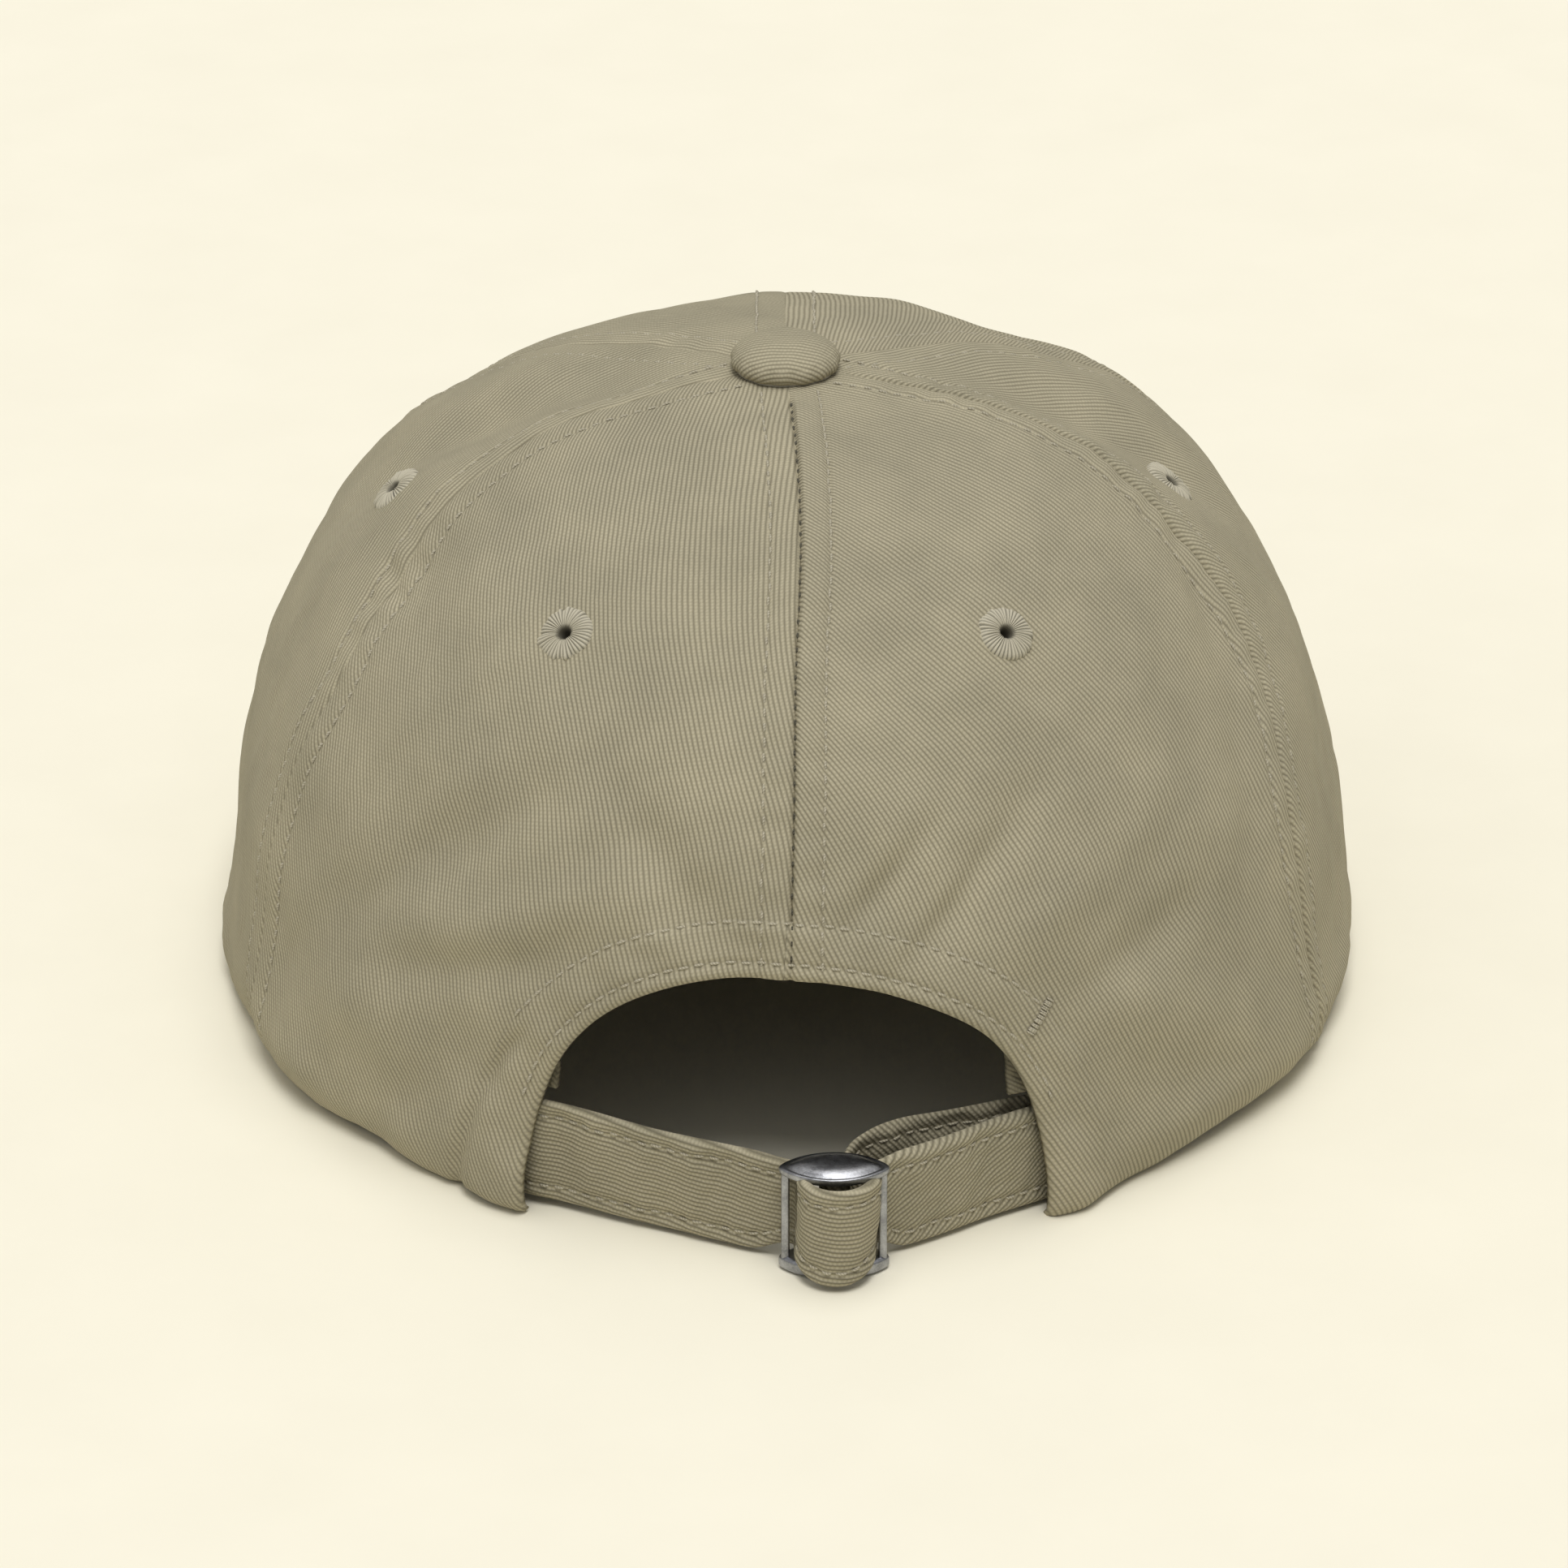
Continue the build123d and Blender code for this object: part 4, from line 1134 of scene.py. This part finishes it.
def main_strap():
    """The long strap: from behind the left panel, round the bar in a fold, and on to its tucked end."""
    corners = [(-49.5, -75.4), (-37.1, -83.3), (1.7, -100.1), (1.7, -109.0)]
    corners += [(12.5, -109.0), (12.5, -99.8), (45.2, -78.8)]
    path = rounded_path(corners, [20.0, 1.3, 5.3, 5.3, 1.2])

    def squeeze(line):
        return ease(line[:, 0], -5, 0.5) * (1 - ease(line[:, 0], 13.2, 17.5))

    def left_part(line):
        return 1 - ease(line[:, 0], -50, -8)

    def foot(line):
        fold = bell(line[:, 1] + 109.0, 4.0) * bell(line[:, 0] - BAR_X, 6)
        return STRAP_FOOT + 0.6 * left_part(line) + STRAP_PINCH * squeeze(line) - 1.8 * fold

    def top(line):
        fold = 1 - ease(line[:, 1], -106.5, -104.0)
        return STRAP_FOOT + STRAP_WIDTH + 1.5 * left_part(line) - 0.5 * squeeze(line) + 0.3 * fold

    verts, faces, uvs, runs, length = strap_solid(path, foot, top, STRAP_THICKNESS, 301)
    tail = uvs[:, 0] > uvs[:, 0].max() - 40.5
    turn = math.radians(-42)
    turned = uvs @ np.array([[math.cos(turn), math.sin(turn)], [-math.sin(turn), math.cos(turn)]])
    uvs = np.where(tail[:, None], turned, uvs)
    strap = cloth_object("adjuster_strap_cloth", verts, faces, uvs, strap_cloth)
    thread_rows = cloth_object("adjuster_strap_stitching", *stitches(runs), seam_thread)
    for piece in (strap, thread_rows):
        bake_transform(piece)
    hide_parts("adjuster_strap", "adjuster_strap_tail")


def short_strap():
    """The short strap: from behind the right panel to its loop round the bar."""
    corners = [(50.0, -72.6), (37.0, -81.0), (17.0, -87.4), (9.3, -93.5), (BAR_X + 1.9, BAR_Y + 1.0)]
    path = rounded_path(corners, [20.0, 14.0, 5.0])
    turn = np.radians(np.linspace(28, -268, 40))
    loop = np.stack([BAR_X + 1.75 * np.cos(turn), BAR_Y + 1.75 * np.sin(turn)], -1)
    path = np.concatenate([path[:-1], loop])

    def foot(line):
        return STRAP_FOOT + STRAP_PINCH * ease(-line[:, 1], 89.5, 96)

    def top(line):
        return STRAP_FOOT + STRAP_WIDTH - STRAP_PINCH * ease(-line[:, 1], 89.5, 96)

    verts, faces, uvs, runs, length = strap_solid(path[::-1], foot, top, ANCHOR_THICKNESS, 401, spacing=0.4)
    strap = cloth_object("anchor_strap_cloth", verts, faces, uvs, anchor_cloth)
    thread_rows = cloth_object("anchor_strap_stitching", *stitches(runs), seam_thread)
    dress(strap, "strap_twill", "anchor_strap")
    dress(thread_rows, "strap_twill")


main_strap()
short_strap()


# Buckle


def stacked(rings):
    """A surface through plan rings at heights, as (vertices, faces, uvs)."""
    points = [np.concatenate([ring, np.full((len(ring), 1), height)], -1) for ring, height in rings]
    verts = np.concatenate(points)
    return verts, tube_faces(len(points), len(points[0])), verts[:, :2]


def lens_ring(scale, count=72):
    """A pointed oval in plan, with slightly rounded tips."""
    half_length = PLATE_HALF_LENGTH + 0.55
    radius = (half_length**2 + PLATE_HALF_DEPTH**2) / (2 * PLATE_HALF_DEPTH)
    reach = math.asin(half_length / radius)
    a = np.linspace(-reach, reach, count // 2, endpoint=False)
    lower = np.stack([radius * np.sin(a), -radius * np.cos(a) + radius - PLATE_HALF_DEPTH], -1)
    ring = np.concatenate([lower, -lower])
    wrapped = np.concatenate([ring[-2:], ring, ring[:2]])
    ring = (wrapped[:-4] + wrapped[1:-3] * 2 + wrapped[2:-2] * 3 + wrapped[3:-1] * 2 + wrapped[4:]) / 9
    return np.array([BAR_X, BAR_Y]) + ring * scale


def plate(levels, foot):
    """A domed plate from (scale, height above its foot) rings, closed at both ends."""
    return stacked([(lens_ring(scale), foot + height) for scale, height in levels])


def post(x, y, half_x, half_y, low, high):
    """An upright of the buckle with rounded corners."""
    turn = np.linspace(0, 2 * np.pi, 24, endpoint=False)
    round_ring = np.stack([np.cos(turn), np.sin(turn)], -1)
    square = np.sign(round_ring) * np.abs(round_ring) ** 0.45
    ring = np.array([x, y]) + square * [half_x, half_y]
    return stacked([(ring, height) for height in np.linspace(low, high, 12)])


def buckle():
    """The cast frame: two domed pointed-oval plates on an upright at each tip."""
    foot = FRAME_TOP - PLATE_THICKNESS
    upper = [(0.02, 0.0), (0.93, 0.0), (0.985, 0.15), (1.0, 0.45), (1.0, 1.0), (0.975, 1.16), (0.9, 1.12)]
    upper += [(0.86, 1.14), (0.8, 1.42), (0.66, 1.74), (0.45, 1.92), (0.2, 1.99), (0.02, 2.0)]
    lower = [(0.02, 0.0), (0.93, 0.0), (0.985, 0.15), (1.0, 0.4), (1.0, 1.5), (0.98, 1.75)]
    lower += [(0.9, 1.95), (0.5, 2.0), (0.02, 2.0)]
    parts = [plate(upper, foot), plate(lower, FRAME_FOOT)]
    for side in (-1, 1):
        x = BAR_X + side * (PLATE_HALF_LENGTH - 0.72)
        parts.append(post(x, BAR_Y, 0.62, 0.85, FRAME_FOOT + 1.0, foot + 0.8))
    body = cloth_object("buckle_casting", *join_parts(parts), gunmetal)
    dress(body, "gunmetal", "buckle_frame", body="buckle")


buckle()

carried = {
    "visor_board": board_plastic,
    "button_shell": tinned,
    "button_prong": tinned,
    "button_washer": tinned,
    "buckle_bar": gunmetal,
}
for node, material in carried.items():
    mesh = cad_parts[node].data
    mesh.materials.clear()
    mesh.materials.append(material)


# Floor, light and camera


PAPER = (0.94, 0.905, 0.765)
PAPER_DARK = (0.92, 0.885, 0.745)
LAMP = (1.0, 0.985, 0.965)


def floor():
    """A plain pale floor."""
    n = Nodes("floor_paper")
    place = n.new("TexCoord").outputs["Object"]
    tone = n.ramp(n.noise(place, 40.0, 5.0), PAPER_DARK, PAPER, 0.3, 0.7)
    n.surface(Base_Color=tone, Roughness=0.9, Specular_IOR_Level=0.1)
    half = 3.0
    mesh = bpy.data.meshes.new("floor")
    corners = [(-half, -half, 0), (half, -half, 0), (half, half, 0), (-half, half, 0)]
    mesh.from_pydata(corners, [], [(0, 1, 2, 3)])
    mesh.materials.append(n.material)
    obj = bpy.data.objects.new("floor", mesh)
    bpy.context.scene.collection.objects.link(obj)


def light(name, way, strength, spread):
    """A soft even light from a direction, spread over an angle in degrees."""
    lamp = bpy.data.lights.new(name, "SUN")
    lamp.energy = strength
    lamp.angle = math.radians(spread)
    lamp.color = LAMP
    obj = bpy.data.objects.new(name, lamp)
    obj.rotation_euler = Vector(way).to_track_quat("Z", "Y").to_euler()
    bpy.context.scene.collection.objects.link(obj)


def studio():
    """A soft surround, dim at the horizon and bright overhead."""
    world = bpy.data.worlds.new("studio")
    world.use_nodes = True
    sky = world.node_tree
    part = sky.nodes.new("ShaderNodeSeparateXYZ")
    sky.links.new(sky.nodes.new("ShaderNodeTexCoord").outputs["Generated"], part.inputs[0])
    fade = sky.nodes.new("ShaderNodeValToRGB")
    fade.color_ramp.elements[0].position = 0.0
    fade.color_ramp.elements[0].color = (0.3, 0.296, 0.284, 1)
    fade.color_ramp.elements[1].position = 0.75
    fade.color_ramp.elements[1].color = (1.0, 0.985, 0.95, 1)
    sky.links.new(part.outputs[2], fade.inputs["Fac"])
    sky.links.new(fade.outputs["Color"], sky.nodes["Background"].inputs["Color"])
    sky.nodes["Background"].inputs["Strength"].default_value = 0.45
    bpy.context.scene.world = world


def camera():
    """The view from behind and above."""
    target = Vector((0.0, -0.002, 0.050))
    elevation = math.radians(26.5)
    distance = 1.2
    place = target + distance * Vector((0, -math.cos(elevation), math.sin(elevation)))
    aim = target + Vector((-0.0002, 0, -0.02265))
    data = bpy.data.cameras.new("camera")
    data.lens = 178.6
    data.sensor_width = 36.0
    data.dof.use_dof = False
    data.clip_start = 0.01
    obj = bpy.data.objects.new("camera", data)
    obj.location = place
    obj.rotation_euler = (aim - place).to_track_quat("-Z", "Y").to_euler()
    bpy.context.scene.collection.objects.link(obj)
    bpy.context.scene.camera = obj


floor()
light("overhead", (0.05, 0.1, 1.0), 0.86, 38)
light("behind", (0.03, -0.4, 1.0), 1.2, 24)
light("left", (-0.8, -0.5, 0.7), 0.16, 60)
studio()
bpy.context.scene.view_settings.view_transform = "Standard"
camera()
